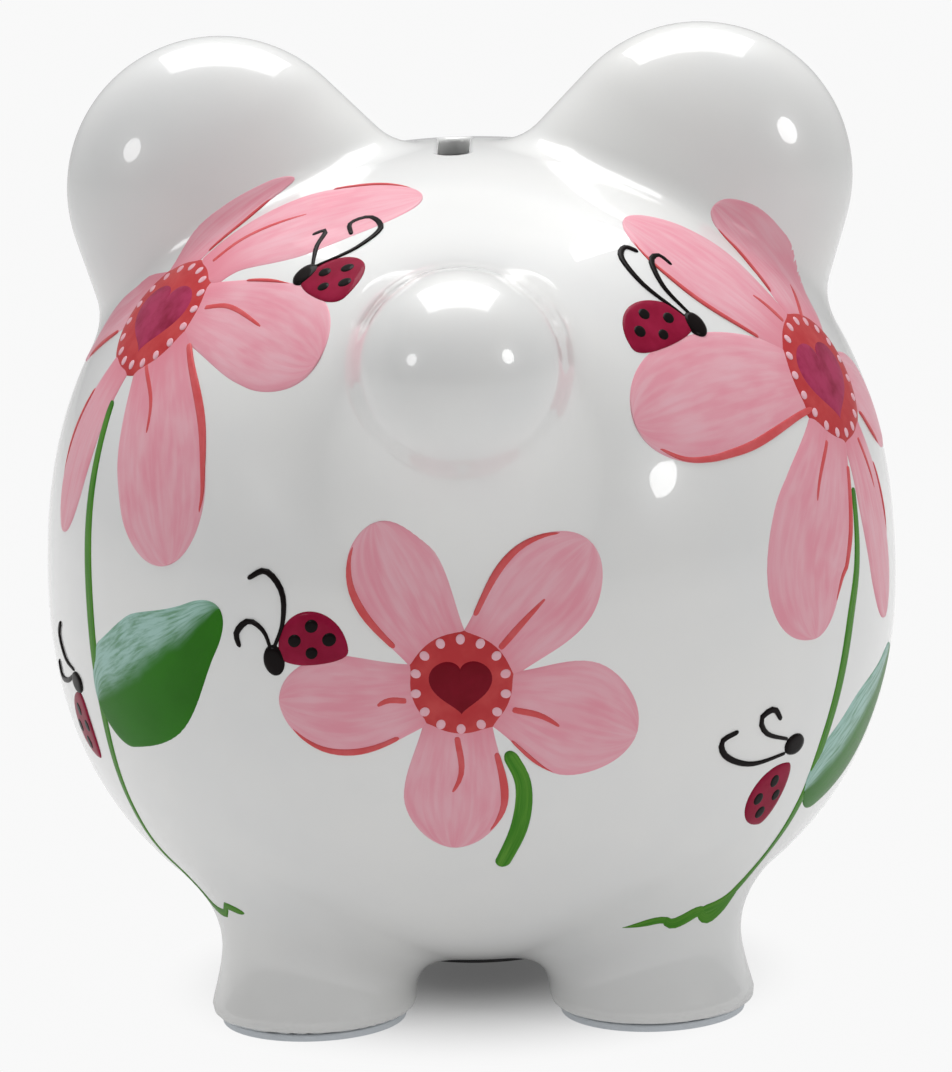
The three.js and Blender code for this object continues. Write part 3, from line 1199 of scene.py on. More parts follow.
@dataclass(frozen=True)
class Tail:
    """A curl of clay on the rump, thick at its root and thin at its end."""

    form: PigForm
    rise: float = 22.0
    start_radius: float = 17.0
    end_radius: float = 4.5
    curl: float = 1.35
    start_turn: float = math.radians(-100.0)
    root_thickness: float = 5.2
    tip_thickness: float = 3.0
    stand_off: float = 2.0
    skirt: float = 1.55
    sunk: float = 1.2
    edge_sunk: float = 0.05
    ridge_fall: float = 3.0
    ridge_power: float = 3.4
    emerging_share: float = 0.2
    emerging_width: float = 0.35
    rounded_from: float = 0.93
    rounded_over: float = 0.07
    rows: int = 150
    top_places: int = 33
    under_places: int = 6

    def build(self, glaze: bpy.types.Material) -> bpy.types.Object:
        """Builds the tail as a ridge along a spiral.

        The ridge's height is its crest times exp(-fall * |s|^power), where s is -1 to 1 from side
        to side, and both the crest and the width fall to 0 as sqrt(1 - e^2) at the end.

        Args:
            glaze: Its finish.

        Returns:
            The tail.
        """
        share = cosine_steps(self.rows)
        turn = self.start_turn + 2 * np.pi * self.curl * share
        radius = self.start_radius + (self.end_radius - self.start_radius) * share
        spine = np.stack([radius * np.cos(turn), radius * np.sin(turn)], -1)
        spine[:, 1] += self.form.centre[2] + self.rise
        ahead = unit(np.gradient(spine, axis=0))
        aside = np.stack([-ahead[:, 1], ahead[:, 0]], -1)
        thickness = self.root_thickness + (self.tip_thickness - self.root_thickness) * share
        ending = np.clip((share - self.rounded_from) / self.rounded_over, 0.0, 0.9999)
        end = np.sqrt(1 - ending**2)
        emerging = smooth_step(0.0, self.emerging_share, share)
        crest = (thickness + self.stand_off) * end * emerging
        widening = self.emerging_width + (1 - self.emerging_width) * emerging
        half = thickness * self.skirt * end * widening
        side = np.sin(np.linspace(-np.pi / 2, np.pi / 2, self.top_places))
        under = np.linspace(1.0, -1.0, self.under_places + 2)[1:-1]
        ridge = np.exp(-self.ridge_fall * np.abs(side) ** self.ridge_power)
        lift = ridge[None] * crest[:, None] - self.edge_sunk
        low = np.full((len(share), len(under)), -self.sunk)
        across = np.concatenate([side, under])
        flat = spine[:, None] + aside[:, None] * (half[:, None] * across)[..., None]
        flat = flat.reshape(-1, 2)
        start = np.stack([flat[:, 0], np.full(len(flat), self.form.centre[1]), flat[:, 1]], -1)
        skin = self.form.cast(start, np.array([0.0, 1.0, 0.0]))
        height = np.concatenate([lift, low], 1).reshape(-1, 1)
        grid = (skin + self.form.normal(skin) * height).reshape(len(share), len(across), 3)
        return make_piece("tail_curl", [Patch(grid)], glaze, Body.BANK)


# ---- Stopper and pads ----


@dataclass(frozen=True)
class BellyStopper:
    """A soft plug: flange, hollow barrel with two beads, and a bar to pull it by."""

    centre: Point = (0.0, 7.0)
    flange_radius: float = 21.6
    flange_top: float = 8.1
    flange_bottom: float = 6.3
    dish_radius: float = 15.5
    dish_depth: float = 0.6
    barrel_radius: float = 17.0
    bead_radius: float = 17.65
    beads: tuple[float, float] = (12.2, 15.6)
    bead_half: float = 1.0
    top: float = 18.0
    cup_radius: float = 14.4
    cup_floor: float = 8.6
    bar_length: float = 21.0
    bar_width: float = 5.0
    bar_bottom: float = 3.2
    bar_edge: float = 1.2
    bar_root: float = 1.2
    dish_slope: float = 1.0
    rounding: float = 0.5
    sides: int = 128
    bar_sides: int = 96
    bar_edge_rows: int = 8

    def plug(self) -> Patch:
        """The flange and barrel, turned round the plug's axis.

        Returns:
            A closed surface.
        """
        corners = [
            (PIN, self.flange_bottom + self.dish_depth),
            (self.dish_radius - self.dish_slope, self.flange_bottom + self.dish_depth),
            (self.dish_radius, self.flange_bottom),
            (self.flange_radius, self.flange_bottom),
            (self.flange_radius, self.flange_top),
            (self.barrel_radius, self.flange_top),
        ]
        for height in self.beads:
            corners += [
                (self.barrel_radius, height - self.bead_half),
                (self.bead_radius, height),
                (self.barrel_radius, height + self.bead_half),
            ]
        corners += [
            (self.barrel_radius, self.top),
            (self.cup_radius, self.top),
            (self.cup_radius, self.cup_floor),
            (PIN, self.cup_floor),
        ]
        return lathe(rounded_profile(corners, self.rounding), self.centre, self.sides)

    def bar(self) -> Patch:
        """The bar: a long outline that draws in by a quarter circle at its lower edge.

        The outline is a circle whose points are pushed apart along the bar, by a reach that
        changes sign as 3 cos t, kept from -1 to 1.

        Returns:
            A closed surface.
        """
        radius, reach = self.bar_width / 2, (self.bar_length - self.bar_width) / 2
        turn = np.linspace(0.0, 2 * np.pi, self.bar_sides, endpoint=False)
        spine = reach * np.clip(3.0 * np.cos(turn), -1.0, 1.0)
        quarter = np.linspace(0.0, np.pi / 2, self.bar_edge_rows)
        inset = self.bar_edge * (1 - np.sin(quarter))
        drop = self.bar_edge * (1 - np.cos(quarter))
        outline = np.concatenate([[radius - PIN], inset, [0.0]])
        top = self.flange_bottom + self.bar_root - self.bar_bottom
        height = np.concatenate([[0.0], drop, [top]])
        width = (radius - outline)[:, None]
        x = self.centre[0] + spine + width * np.cos(turn)
        y = self.centre[1] + width * np.sin(turn)
        z = np.broadcast_to(self.bar_bottom + height[:, None], x.shape)
        return Patch(np.stack([x, y, z], -1))

    def build(self, rubber: bpy.types.Material) -> bpy.types.Object:
        """Builds plug and bar as one piece, and hides the node that they stand for.

        Args:
            rubber: Their finish.

        Returns:
            The stopper.
        """
        patches = [self.plug(), self.bar()]
        stopper = make_piece("belly_stopper", patches, rubber, Body.STOPPER)
        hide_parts("stopper")
        return stopper


@dataclass(frozen=True)
class FootPads:
    """Four thin round pads, one under each foot."""

    form: PigForm
    radius: float = 19.3
    thickness: float = 1.5
    edge: float = 0.45
    sides: int = 96

    def build(self, rubber: bpy.types.Material) -> list[bpy.types.Object]:
        """Builds the pads and hides the nodes that they stand for.

        Args:
            rubber: Their finish.

        Returns:
            The four pads.
        """
        corners = [(PIN, 0.0), (self.radius, 0.0), (self.radius, self.thickness), (PIN, self.thickness)]
        profile = rounded_profile(corners, self.edge)
        pads = []
        for end, back in (("front", -1), ("back", 1)):
            for side, right in (("left", -1), ("right", 1)):
                x = right * self.form.foot_offset
                y = self.form.centre[1] + back * self.form.foot_stride
                patch = lathe(profile, (x, y), self.sides)
                pad = make_piece(f"pad_{end}_{side}", [patch], rubber, Body.BANK)
                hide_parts(f"foot_pad_{end}_{side}")
                pads.append(pad)
        return pads


# ---- Brushwork ----

SUNK = 0.06  # how far a painted patch's underside lies below the glaze, in mm


class Lift(Enum):
    """How far each coat of paint stands above the glaze, in mm."""

    STEM = 0.18
    PETAL = 0.20
    LEAF = 0.22
    LINE = 0.34
    DISC = 0.40
    HEART = 0.48
    BUG = 0.38
    SPOT = 0.48


def closed_section(lift: Array, across: Array, under: int) -> tuple[Array, Array]:
    """Side places and heights round a flattened cross-section.

    Args:
        lift: Height of the top at each of its side places, rows by places.
        across: Side places of the top, -1 to 1.
        under: Number of places along the underside.

    Returns:
        Side places of the whole section, and heights, rows by places.
    """
    low = np.linspace(1.0, -1.0, under + 2)[1:-1]
    heights = np.concatenate([lift, np.full((len(lift), under), -SUNK)], 1)
    return np.concatenate([across, low]), heights


@dataclass(frozen=True)
class Stroke:
    """One pull of the brush: a spine through a few points of a chart, and a width along it.

    Attributes:
        spine: Points that the spine passes, in mm.
        width: Widest, in mm.
        root: Width at the start, as a share of the widest.
        peak: Where it is widest, as a share of its length.
        tail: Width at the end, before it is rounded off, as a share of the widest.
        start: Length over which the start is rounded off, in mm.
        end: Length over which the end is rounded off, in mm.
    """

    spine: tuple[Point, ...]
    width: float
    root: float = 0.5
    peak: float = 0.6
    tail: float = 0.9
    start: float = 2.0
    end: float = 8.0

    def half_widths(self, share: Array) -> Array:
        """Half the stroke's width along it.

        It grows to the peak and shrinks after it by smooth steps, and is rounded off at both
        ends as sqrt(1 - (1 - s)^2), where s is the share of a cap's length.

        Args:
            share: Shares of the stroke's length.

        Returns:
            Half the width at each share, in mm.
        """
        thinnest = 1e-3
        length = curve_length(self.spine)
        grown = self.root + (1 - self.root) * smooth_step(0.0, self.peak, share)
        kept = 1 - (1 - self.tail) * smooth_step(self.peak, 1.0, share)
        first = 1 - np.clip(share * length / self.start, 0.0, 1.0)
        last = 1 - np.clip((1 - share) * length / self.end, 0.0, 1.0)
        rounded = np.sqrt((1 - first**2) * (1 - last**2))
        return 0.5 * self.width * grown * kept * rounded + thinnest

    def lines(self, share: Array) -> tuple[Array, Array]:
        """The stroke's middle line.

        Args:
            share: Shares of the stroke's length.

        Returns:
            The spine's points, and unit vectors to its left.
        """
        place = np.linspace(0, 1, 200)
        centre = curve_through(self.spine, share)
        ahead = unit(np.gradient(curve_through(self.spine, place), axis=0))
        x, y = np.interp(share, place, ahead[:, 0]), np.interp(share, place, ahead[:, 1])
        return centre, unit(np.stack([-y, x], -1))

    def edge(self, side: float, start: float, stop: float, inset: float) -> tuple[Point, ...]:
        """Nine points along one side, inset from it.

        Args:
            side: 1 for the left of the pull and -1 for its right.
            start: Share of the length where the line starts.
            stop: Share where it stops.
            inset: Millimetres in from the edge.

        Returns:
            Points of the chart.
        """
        share = np.linspace(start, stop, 9)
        centre, left = self.lines(share)
        reach = np.maximum(self.half_widths(share) - inset, 0.0)
        points = centre + side * left * reach[:, None]
        return tuple((float(x), float(y)) for x, y in points)

    def patch(self, chart: Chart, lift: float, seed: float) -> Patch:
        """The stroke on the pig.

        Its top is a flat dome, lift * sqrt(1 - |s|^6) from side to side and lower where the
        stroke thins out to its ends, and its underside lies just below the glaze.

        Args:
            chart: Where it is painted.
            lift: Thickness, in mm.
            seed: The stroke's own number.

        Returns:
            A closed surface.
        """
        length = curve_length(self.spine)
        rows = int(np.clip(length * 1.1, 18, 110))
        places = int(np.clip(self.width * 1.2, 9, 30))
        share = cosine_steps(rows)
        half = self.half_widths(share)
        across = np.sin(np.linspace(-np.pi / 2, np.pi / 2, places))
        dome = np.sqrt(np.clip(1 - np.abs(across) ** 6, 0.0, 1.0))
        thick = np.clip(half / min(0.5, 0.4 * self.width), 0.0, 1.0)
        top = -SUNK + (lift + SUNK) * thick[:, None] * dome
        side, heights = closed_section(top, across, max(3, places // 3))
        centre, left = self.lines(share)
        flat = centre[:, None] + left[:, None] * (half[:, None] * side)[..., None]
        return Patch(
            chart.place(flat, heights),
            along=share[:, None],
            across=side[None],
            run=share[:, None] * length,
            seed=seed,
        )


class Outline(Enum):
    """Shapes of a dab of paint."""

    ROUND = "round"
    HEART = "heart"
    DOME = "dome"


@dataclass(frozen=True)
class Dab:
    """A dab of paint: a round, a heart or a dome that is flat below.

    Attributes:
        centre: Its middle on the chart, in mm.
        half_length: Half its size along its own x.
        half_breadth: Half its size along its own y.
        outline: Its shape.
        turn: Degrees from the chart's p axis to its own x.
    """

    centre: Point
    half_length: float
    half_breadth: float
    outline: Outline = Outline.ROUND
    turn: float = 0.0

    def rim(self, share: Array) -> Array:
        """Points of the outline, about the dab's middle.

        A round is (cos, sin). A dome is 1.2 sin above its middle and -0.45 |sin|^0.7 below it. A
        heart is sin^3 across, and 13 cos t - 3.2 cos 2t - 2 cos 3t - 0.6 cos 4t, over 16, upwards.

        Args:
            share: Shares of the way round.

        Returns:
            One point per share, in mm.
        """
        t = 2 * np.pi * share
        if self.outline is Outline.HEART:
            x = np.sin(t) ** 3
            y = (13 * np.cos(t) - 3.2 * np.cos(2 * t) - 2 * np.cos(3 * t) - 0.6 * np.cos(4 * t)) / 16
        else:
            x, y = np.cos(t), np.sin(t)
        if self.outline is Outline.DOME:
            y = np.where(y < 0, 0.45 * np.abs(y) ** 0.7 * np.sign(y), 1.2 * y)
        return np.stack([x * self.half_length, y * self.half_breadth], -1)

    def turned(self, points: Array) -> Array:
        """Points about the dab's middle, turned and moved to their place on the chart.

        Args:
            points: Points along and across the dab, in mm.

        Returns:
            Points of the chart.
        """
        angle = math.radians(self.turn)
        ahead = np.array([math.cos(angle), math.sin(angle)])
        left = np.array([-math.sin(angle), math.cos(angle)])
        return np.asarray(self.centre) + points[..., :1] * ahead + points[..., 1:] * left

    def patch(self, chart: Chart, lift: float, seed: float) -> Patch:
        """The dab on the pig: rings of its outline, at heights lift * sqrt(1 - r^8).

        Args:
            chart: Where it is painted.
            lift: Thickness, in mm.
            seed: The dab's own number.

        Returns:
            A closed surface.
        """
        size = max(self.half_length, self.half_breadth)
        rings = int(np.clip(size * 1.2, 5, 16))
        spokes = int(np.clip(size * 9, 20, 96))
        share = np.linspace(0.0, 1.0, spokes, endpoint=False)
        top = np.sin(np.linspace(0.02, np.pi / 2, rings))
        reach = np.concatenate([top, [0.7, 0.35, 0.02]])
        high = -SUNK + (lift + SUNK) * np.sqrt(np.clip(1 - top**8, 0.0, 1.0))
        height = np.concatenate([high, np.full(3, -SUNK)])
        flat = self.turned(reach[:, None, None] * self.rim(share)[None])
        lifts = np.broadcast_to(height[:, None], flat.shape[:2])
        across = np.broadcast_to(reach[:, None], flat.shape[:2])
        run = reach[:, None] * size
        return Patch(chart.place(flat, lifts), along=share[None], across=across, run=run, seed=seed)


class Finish(Enum):
    """Finishes of the painted pieces, each with the record slot that it stands for."""

    PETAL = ("petals", Slot.PETAL)
    DOT = ("dots", Slot.PETAL)
    LINE = ("lines", Slot.CORAL)
    DISC = ("disc", Slot.CORAL)
    HEART = ("heart", Slot.CRIMSON)
    PLUM_HEART = ("plum_heart", Slot.CRIMSON)
    BUG = ("shell", Slot.CRIMSON)
    LEAF = ("leaf", Slot.LEAF)
    STEM = ("stem", Slot.LEAF)
    BLACK = ("black", Slot.BLACK)


@dataclass
class Paintwork:
    """Collects painted patches by motif and finish, and makes one piece of each group."""

    materials: dict[Finish, bpy.types.Material]
    groups: dict[tuple[str, Finish], list[Patch]] = field(default_factory=dict)
    count: int = 0

    def paint(self, motif: str, finish: Finish, chart: Chart, mark: Stroke | Dab, lift: float) -> None:
        """Adds a stroke or dab to a motif's group.

        Args:
            motif: Name of the flower, stem or ladybird.
            finish: The mark's finish.
            chart: Where it is painted.
            mark: The stroke or dab.
            lift: Thickness, in mm.
        """
        seed_step = 3.7
        self.count += 1
        seed = seed_step * self.count
        self.groups.setdefault((motif, finish), []).append(mark.patch(chart, lift, seed))

    def build(self) -> list[bpy.types.Object]:
        """Makes the pieces, all of which move with the bank.

        Returns:
            One piece for each motif and finish.
        """
        pieces = []
        for (motif, finish), patches in self.groups.items():
            name, slot = finish.value
            material = self.materials[finish]
            pieces.append(make_piece(f"{motif}_{name}", patches, material, Body.BANK))
        return pieces


@dataclass(frozen=True)
class Petal:
    """A petal's broad stroke, with the coral lines along its edges and its vein.

    Attributes:
        stroke: The petal.
        lines: Each a side, start, stop and width of a line along the petal's edge.
        vein: Points of its vein, from the disc outwards.
    """

    stroke: Stroke
    lines: tuple[tuple[float, float, float, float], ...] = ()
    vein: tuple[Point, ...] = ()


@dataclass(frozen=True)
class Flower:
    """A flower: petals, a coral disc ringed with dots, and a heart on the disc.

    Attributes:
        motif: Its name.
        chart: Where it is painted.
        centre: Middle of its disc.
        disc_radius: Radius of the disc.
        petals: Its petals, in the order they are painted.
        heart_half_width: Half the heart's width.
        heart_half_height: Half its height.
        heart_turn: Degrees that it is turned by.
        heart_finish: Its finish.
        dots: Number of dots in the ring.
        dot_radius: Radius of a dot.
        ring: Radius of the ring of dots, as a share of the disc's.
        ring_start: Angle of the first dot.
        petal_step: How much higher each petal lies than the one before, in mm.
    """

    motif: str
    chart: Chart
    centre: Point
    disc_radius: float
    petals: tuple[Petal, ...]
    heart_half_width: float = 7.0
    heart_half_height: float = 7.4
    heart_turn: float = 0.0
    heart_finish: Finish = Finish.HEART
    dots: int = 14
    dot_radius: float = 0.95
    ring: float = 0.83
    ring_start: float = 0.2
    petal_step: float = 0.016

    def paint(self, work: Paintwork) -> None:
        """Paints the petals in order, then their lines, the disc, its dots and the heart.

        Args:
            work: Where the marks are collected.
        """
        for index, petal in enumerate(self.petals):
            lift = Lift.PETAL.value + self.petal_step * index
            work.paint(self.motif, Finish.PETAL, self.chart, petal.stroke, lift)
        for petal in self.petals:
            for side, start, stop, width in petal.lines:
                points = petal.stroke.edge(side, start, stop, 0.35 * width)
                line = Stroke(points, width, root=0.7, peak=0.4, tail=0.35, start=1.0, end=6.0)
                work.paint(self.motif, Finish.LINE, self.chart, line, Lift.LINE.value)
            if petal.vein:
                vein = Stroke(petal.vein, 1.45, root=0.9, peak=0.2, tail=0.3, start=0.5, end=5.0)
                work.paint(self.motif, Finish.LINE, self.chart, vein, Lift.LINE.value)
        disc = Dab(self.centre, self.disc_radius, self.disc_radius)
        work.paint(self.motif, Finish.DISC, self.chart, disc, Lift.DISC.value)
        ring = self.disc_radius * self.ring
        for turn in np.linspace(0.0, 2 * np.pi, self.dots, endpoint=False) + self.ring_start:
            place = (self.centre[0] + ring * math.cos(turn), self.centre[1] + ring * math.sin(turn))
            dot = Dab(place, self.dot_radius * 1.15, self.dot_radius, turn=math.degrees(turn))
            work.paint(self.motif, Finish.DOT, self.chart, dot, Lift.HEART.value)
        size = (self.heart_half_width, self.heart_half_height)
        heart = Dab(self.centre, *size, Outline.HEART, self.heart_turn)
        work.paint(self.motif, self.heart_finish, self.chart, heart, Lift.HEART.value)


@dataclass(frozen=True)
class Ladybird:
    """A small painted ladybird, seen from its side.

    Attributes:
        motif: Its name.
        chart: Where it is painted.
        centre: Middle of its wing case.
        turn: Degrees from the chart's p axis to the way it faces.
        head: Middle of its head.
        feelers: Points of each feeler, from the head outwards.
        half_length: Half the length of its wing case.
        half_breadth: Half its height.
        belly: 1 where its belly is to its right, and -1 where it is to its left.
        spots: Each spot's place, as shares of half the length and breadth, and its radius.
    """

    motif: str
    chart: Chart
    centre: Point
    turn: float
    head: Point
    feelers: tuple[tuple[Point, ...], ...]
    half_length: float = 7.2
    half_breadth: float = 6.4
    belly: float = 1.0
    spots: tuple[tuple[float, float, float], ...] = (
        (0.46, 0.34, 1.45),
        (0.02, -0.06, 1.35),
        (-0.08, 0.74, 1.45),
        (-0.52, 0.30, 1.50),
    )

    def paint(self, work: Paintwork) -> None:
        """Paints the wing case, its spots, the head and the feelers.

        Args:
            work: Where the marks are collected.
        """
        breadth = self.half_breadth * self.belly
        case = Dab(self.centre, self.half_length, breadth, Outline.DOME, self.turn)
        work.paint(self.motif, Finish.BUG, self.chart, case, Lift.BUG.value)
        for ahead, up, radius in self.spots:
            local = np.array([ahead * self.half_length, up * breadth])
            x, y = case.turned(local)
            spot = Dab((float(x), float(y)), radius * 1.15, radius, turn=self.turn + 25)
            work.paint(self.motif, Finish.BLACK, self.chart, spot, Lift.SPOT.value)
        head = Dab(self.head, 2.3, 3.1, turn=self.turn)
        work.paint(self.motif, Finish.BLACK, self.chart, head, Lift.SPOT.value)
        for points in self.feelers:
            feeler = Stroke(points, 1.35, root=0.55, peak=0.75, tail=0.75, start=0.6, end=0.9)
            work.paint(self.motif, Finish.BLACK, self.chart, feeler, Lift.BUG.value)


@dataclass(frozen=True)
class Greenery:
    """A stem, its leaf and the tuft of grass that it grows from."""

    motif: str
    chart: Chart
    stems: tuple[Stroke, ...] = ()
    leaves: tuple[Stroke, ...] = ()

    def paint(self, work: Paintwork) -> None:
        """Paints the stems, then the leaves."""
        for stem in self.stems:
            work.paint(self.motif, Finish.STEM, self.chart, stem, Lift.STEM.value)
        for leaf in self.leaves:
            work.paint(self.motif, Finish.LEAF, self.chart, leaf, Lift.LEAF.value)


def front_motifs(form: PigForm) -> list[Flower | Ladybird | Greenery]:
    """The flower under the snout with its short stem and ladybird.

    Args:
        form: The pig that they are painted on.

    Returns:
        The motifs, in the order they are painted.
    """
    chart = Chart(form, -1.1, -6.2)
    petals = (
        Petal(
            Stroke(((-2, 3), (-11.8, 20), (-15.2, 30.4)), 18.6, root=0.62, peak=0.62, end=10.5),
            ((1, 0.28, 0.93, 1.7),),
        ),
        Petal(
            Stroke(((3, 3), (15.2, 15.4), (25.6, 25.4)), 20.4, root=0.6, peak=0.6, end=11.5),
            ((1, 0.22, 0.95, 1.5),),
            ((7.4, 6.4), (12.4, 11.6), (19.5, 18.3)),
        ),
        Petal(
            Stroke(((4, -2), (19.5, -7.6), (32.9, -13.2)), 23.0, root=0.42, peak=0.6, end=12.5),
            ((-1, 0.25, 0.6, 0.8),),
            ((9.3, -5.2), (15.2, -7.2), (20.9, -11.9)),
        ),
        Petal(
            Stroke(((-0.5, -4), (-1.6, -20), (-2.6, -34)), 19.4, root=0.62, peak=0.62, end=11.0),
            ((1, 0.3, 0.9, 1.6),),
            ((-1, -10), (-0.6, -17.9), (-5, -25.5)),
        ),
        Petal(
            Stroke(((-3, -1), (-20, -4.4), (-35.3, -4.9)), 19.6, root=0.55, peak=0.62, end=11.0),
            ((1, 0.32, 0.97, 1.4),),
            ((-10, -3.1), (-14, -3.3), (-18.2, -6.2)),
        ),
    )
    stem = Stroke(((8.2, -13.4), (10.9, -20.5), (10, -29.5), (6.1, -39.4)), 3.5, root=0.8, end=1.5)
    feelers = (
        ((-36.4, 5.2), (-34.4, 10.5), (-34.5, 16.6), (-38.0, 20.4), (-42.1, 18.6)),
        ((-37, 5.2), (-38.6, 8.6), (-41.8, 10.2), (-44.6, 7.6), (-43.9, 4.6)),
    )
    return [
        Greenery("front_stem", chart, (stem,)),
        Flower("front_flower", chart, (0.0, 0.0), 10.2, petals),
        Ladybird("front_ladybird", chart, (-28.2, 5.6), 188.0, (-36.3, 3.0), feelers, belly=-1.0),
    ]


def side_flower(
    motif: str,
    chart: Chart,
    centre: Point,
    disc_radius: float,
    petals: tuple[Petal, ...],
    heart: tuple[float, float, float],
) -> Flower:
    """A big flower with a plum heart and a full ring of dots.

    Args:
        motif: Its name.
        chart: Where it is painted.
        centre: Middle of its disc.
        disc_radius: Radius of the disc.
        petals: Its petals.
        heart: Half the heart's width, half its height and its turn in degrees.

    Returns:
        The flower.
    """
    return Flower(motif, chart, centre, disc_radius, petals, *heart, Finish.PLUM_HEART, 18, 1.0)


def side_flower_left(motif: str, chart: Chart) -> Flower:
    """The big flower that spreads from the root of the left ear.

    Args:
        motif: Its name.
        chart: Where it is painted.

    Returns:
        The flower.
    """
    petals = (
        Petal(
            Stroke(
                ((-8, 8), (-7, 16.5), (-4.2, 26), (-0.2, 40.8)),
                9.5, root=0.9, peak=0.08, tail=0.2, end=5.0,
            ),
            ((-1, 0.3, 0.9, 0.9),),
        ),
        Petal(
            Stroke(((-9, 7), (-14.2, 4.6), (-19.2, 0.8), (-39, -9.4)), 11.0, root=0.9, peak=0.2, tail=0.4),
            ((1, 0.4, 0.97, 1.2),),
        ),
        Petal(
            Stroke(
                ((3, 11), (7.8, 20.6), (20, 34.2), (33, 48.5)),
                25.0, root=0.55, peak=0.5, tail=0.7, end=12.0,
            ),
            ((1, 0.6, 0.98, 1.0),),
            ((2.4, 14.5), (5.4, 22.1), (12.1, 29.8), (21.4, 37.8)),
        ),
        Petal(
            Stroke(((-6, -8), (-14.5, -27), (-20.3, -47.2)), 15.5, root=0.6, peak=0.6, end=12.0),
            ((-1, 0.3, 0.8, 1.2),),
        ),
        Petal(
            Stroke(((4, 3), (27, 3.2), (48.2, 0.2)), 23.6, root=0.55, peak=0.62, end=13.0),
            ((1, 0.3, 0.55, 0.9),),
            ((11.4, 3.8), (18.4, 5.4), (28.6, 3.6), (37.5, 0.8)),
        ),
        Petal(
            Stroke(((4, -4), (15.5, -24.5), (26, -47.6)), 27.0, root=0.6, peak=0.55, end=14.0),
            ((1, 0.1, 0.85, 2.1),),
            ((2.9, -10.7), (10.6, -19.0), (13.0, -32.5)),
        ),
    )
    return side_flower(motif, chart, (-3.0, 0.5), 14.2, petals, heart=(11.0, 11.4, 4.0))


def side_flower_right(motif: str, chart: Chart) -> Flower:
    """The big flower that spreads from the root of the right ear.

    Args:
        motif: Its name.
        chart: Where it is painted.

    Returns:
        The flower.
    """
    petals = (
        Petal(Stroke(((8, -1), (22, -4), (39, -15)), 17.5, root=0.6, end=11.0), ((-1, 0.3, 0.8, 1.2),)),
        Petal(
            Stroke(
                ((7, 8), (10.4, 18), (8.2, 29), (4.8, 41.4)),
                18.5, root=0.75, peak=0.3, tail=0.3, end=8.0,
            ),
            ((1, 0.4, 0.97, 1.1),),
            ((7.5, 12.7), (12.4, 18.6), (15.6, 24.0)),
        ),
        Petal(
            Stroke(
                ((-2, 8), (-9.5, 21), (-15, 33), (-20.4, 47)),
                23.0, root=0.6, peak=0.55, tail=0.75, end=12.0,
            ),
            ((1, 0.2, 0.95, 1.1),),
            ((-1.5, 13), (-4.5, 18), (-8.5, 23)),
        ),
        Petal(
            Stroke(((7, -8), (12, -28), (18.5, -52.5)), 16.5, root=0.7, peak=0.5, end=13.0),
            ((1, 0.3, 0.7, 0.9),),
            ((10, -14), (13.5, -22), (16, -30)),
        ),
        Petal(
            Stroke(((1, 0), (-27, 3.6), (-53.8, 4.6)), 26.0, root=0.5, peak=0.62, end=14.0),
            ((1, 0.12, 0.97, 2.1),),
        ),
        Petal(
            Stroke(((1, -6), (-12, -24), (-19.2, -36), (-18.6, -50)), 28.5, root=0.45, peak=0.6, end=15.0),
            ((1, 0.2, 0.93, 2.2),),
            ((-5.1, -12.4), (-12.4, -20.2), (-17.1, -30.0)),
        ),
    )
    return side_flower(motif, chart, (4.0, 0.0), 14.8, petals, heart=(11.6, 12.0, -4.0))


def grass_stroke(points: tuple[Point, ...], width: float, root: float = 0.6) -> Stroke:
    """A thin line of grass along the ground that a stem grows from."""
    return Stroke(points, width, root=root, end=3.0)


def leaf_stroke(points: tuple[Point, ...], width: float) -> Stroke:
    """A leaf: broad and round near its stalk, drawn out to a point."""
    return Stroke(points, width, root=0.8, peak=0.45, tail=0.36, start=7.5, end=6.0)


def left_motifs(form: PigForm) -> list[Flower | Ladybird | Greenery]:
    """The left flower, its stem, leaf, grass and two ladybirds.

    Args:
        form: The pig that they are painted on.

    Returns:
        The motifs, in the order they are painted.
    """
    high, low = Chart(form, -56.5, 37.8), Chart(form, -52.0, -20.0)
    stem = Stroke(
        (
            (-13.1, 71.5), (-12.3, 48.8), (-9.4, 22.6), (-8.6, 6.1),
            (-10.8, -12.7), (-12.6, -28), (-8, -37.2),
        ),
        3.4, root=0.8, peak=0.3, tail=0.4, start=1.2, end=3.0,
    )
    grass = grass_stroke(((-12, -34), (-3.0, -37.6), (4.0, -37.6), (5.6, -35.6), (10.9, -36.4)), 1.7)
    leaf = leaf_stroke(((-9.5, 10.0), (12.4, 19.2), (32.2, 33.0)), 26.0)
    feelers = (
        ((30.2, 19.6), (26.5, 24.5), (24.4, 29.3), (22.3, 27.0)),
        ((30.6, 19.6), (35.5, 27.0), (35.4, 34.4), (30.0, 36.9), (27.6, 33.4), (31.0, 30.4)),
    )
    edge_feelers = (
        ((-21.5, 13.5), (-27.0, 14.5), (-31.0, 18.5), (-29.0, 22.0)),
        ((-21.0, 13.0), (-28.0, 9.5), (-34.0, 8.5), (-35.0, 12.0)),
    )
    return [
        Greenery("left_stem", low, (stem, grass), (leaf,)),
        side_flower_left("left_flower", high),
        Ladybird("left_ladybird", high, (37.6, 16.0), 172.0, (30.2, 17.4), feelers, 7.2, 7.4, belly=-1.0),
        Ladybird("left_low_ladybird", low, (-19.5, 2.0), 98.0, (-20.5, 11.2), edge_feelers),
    ]


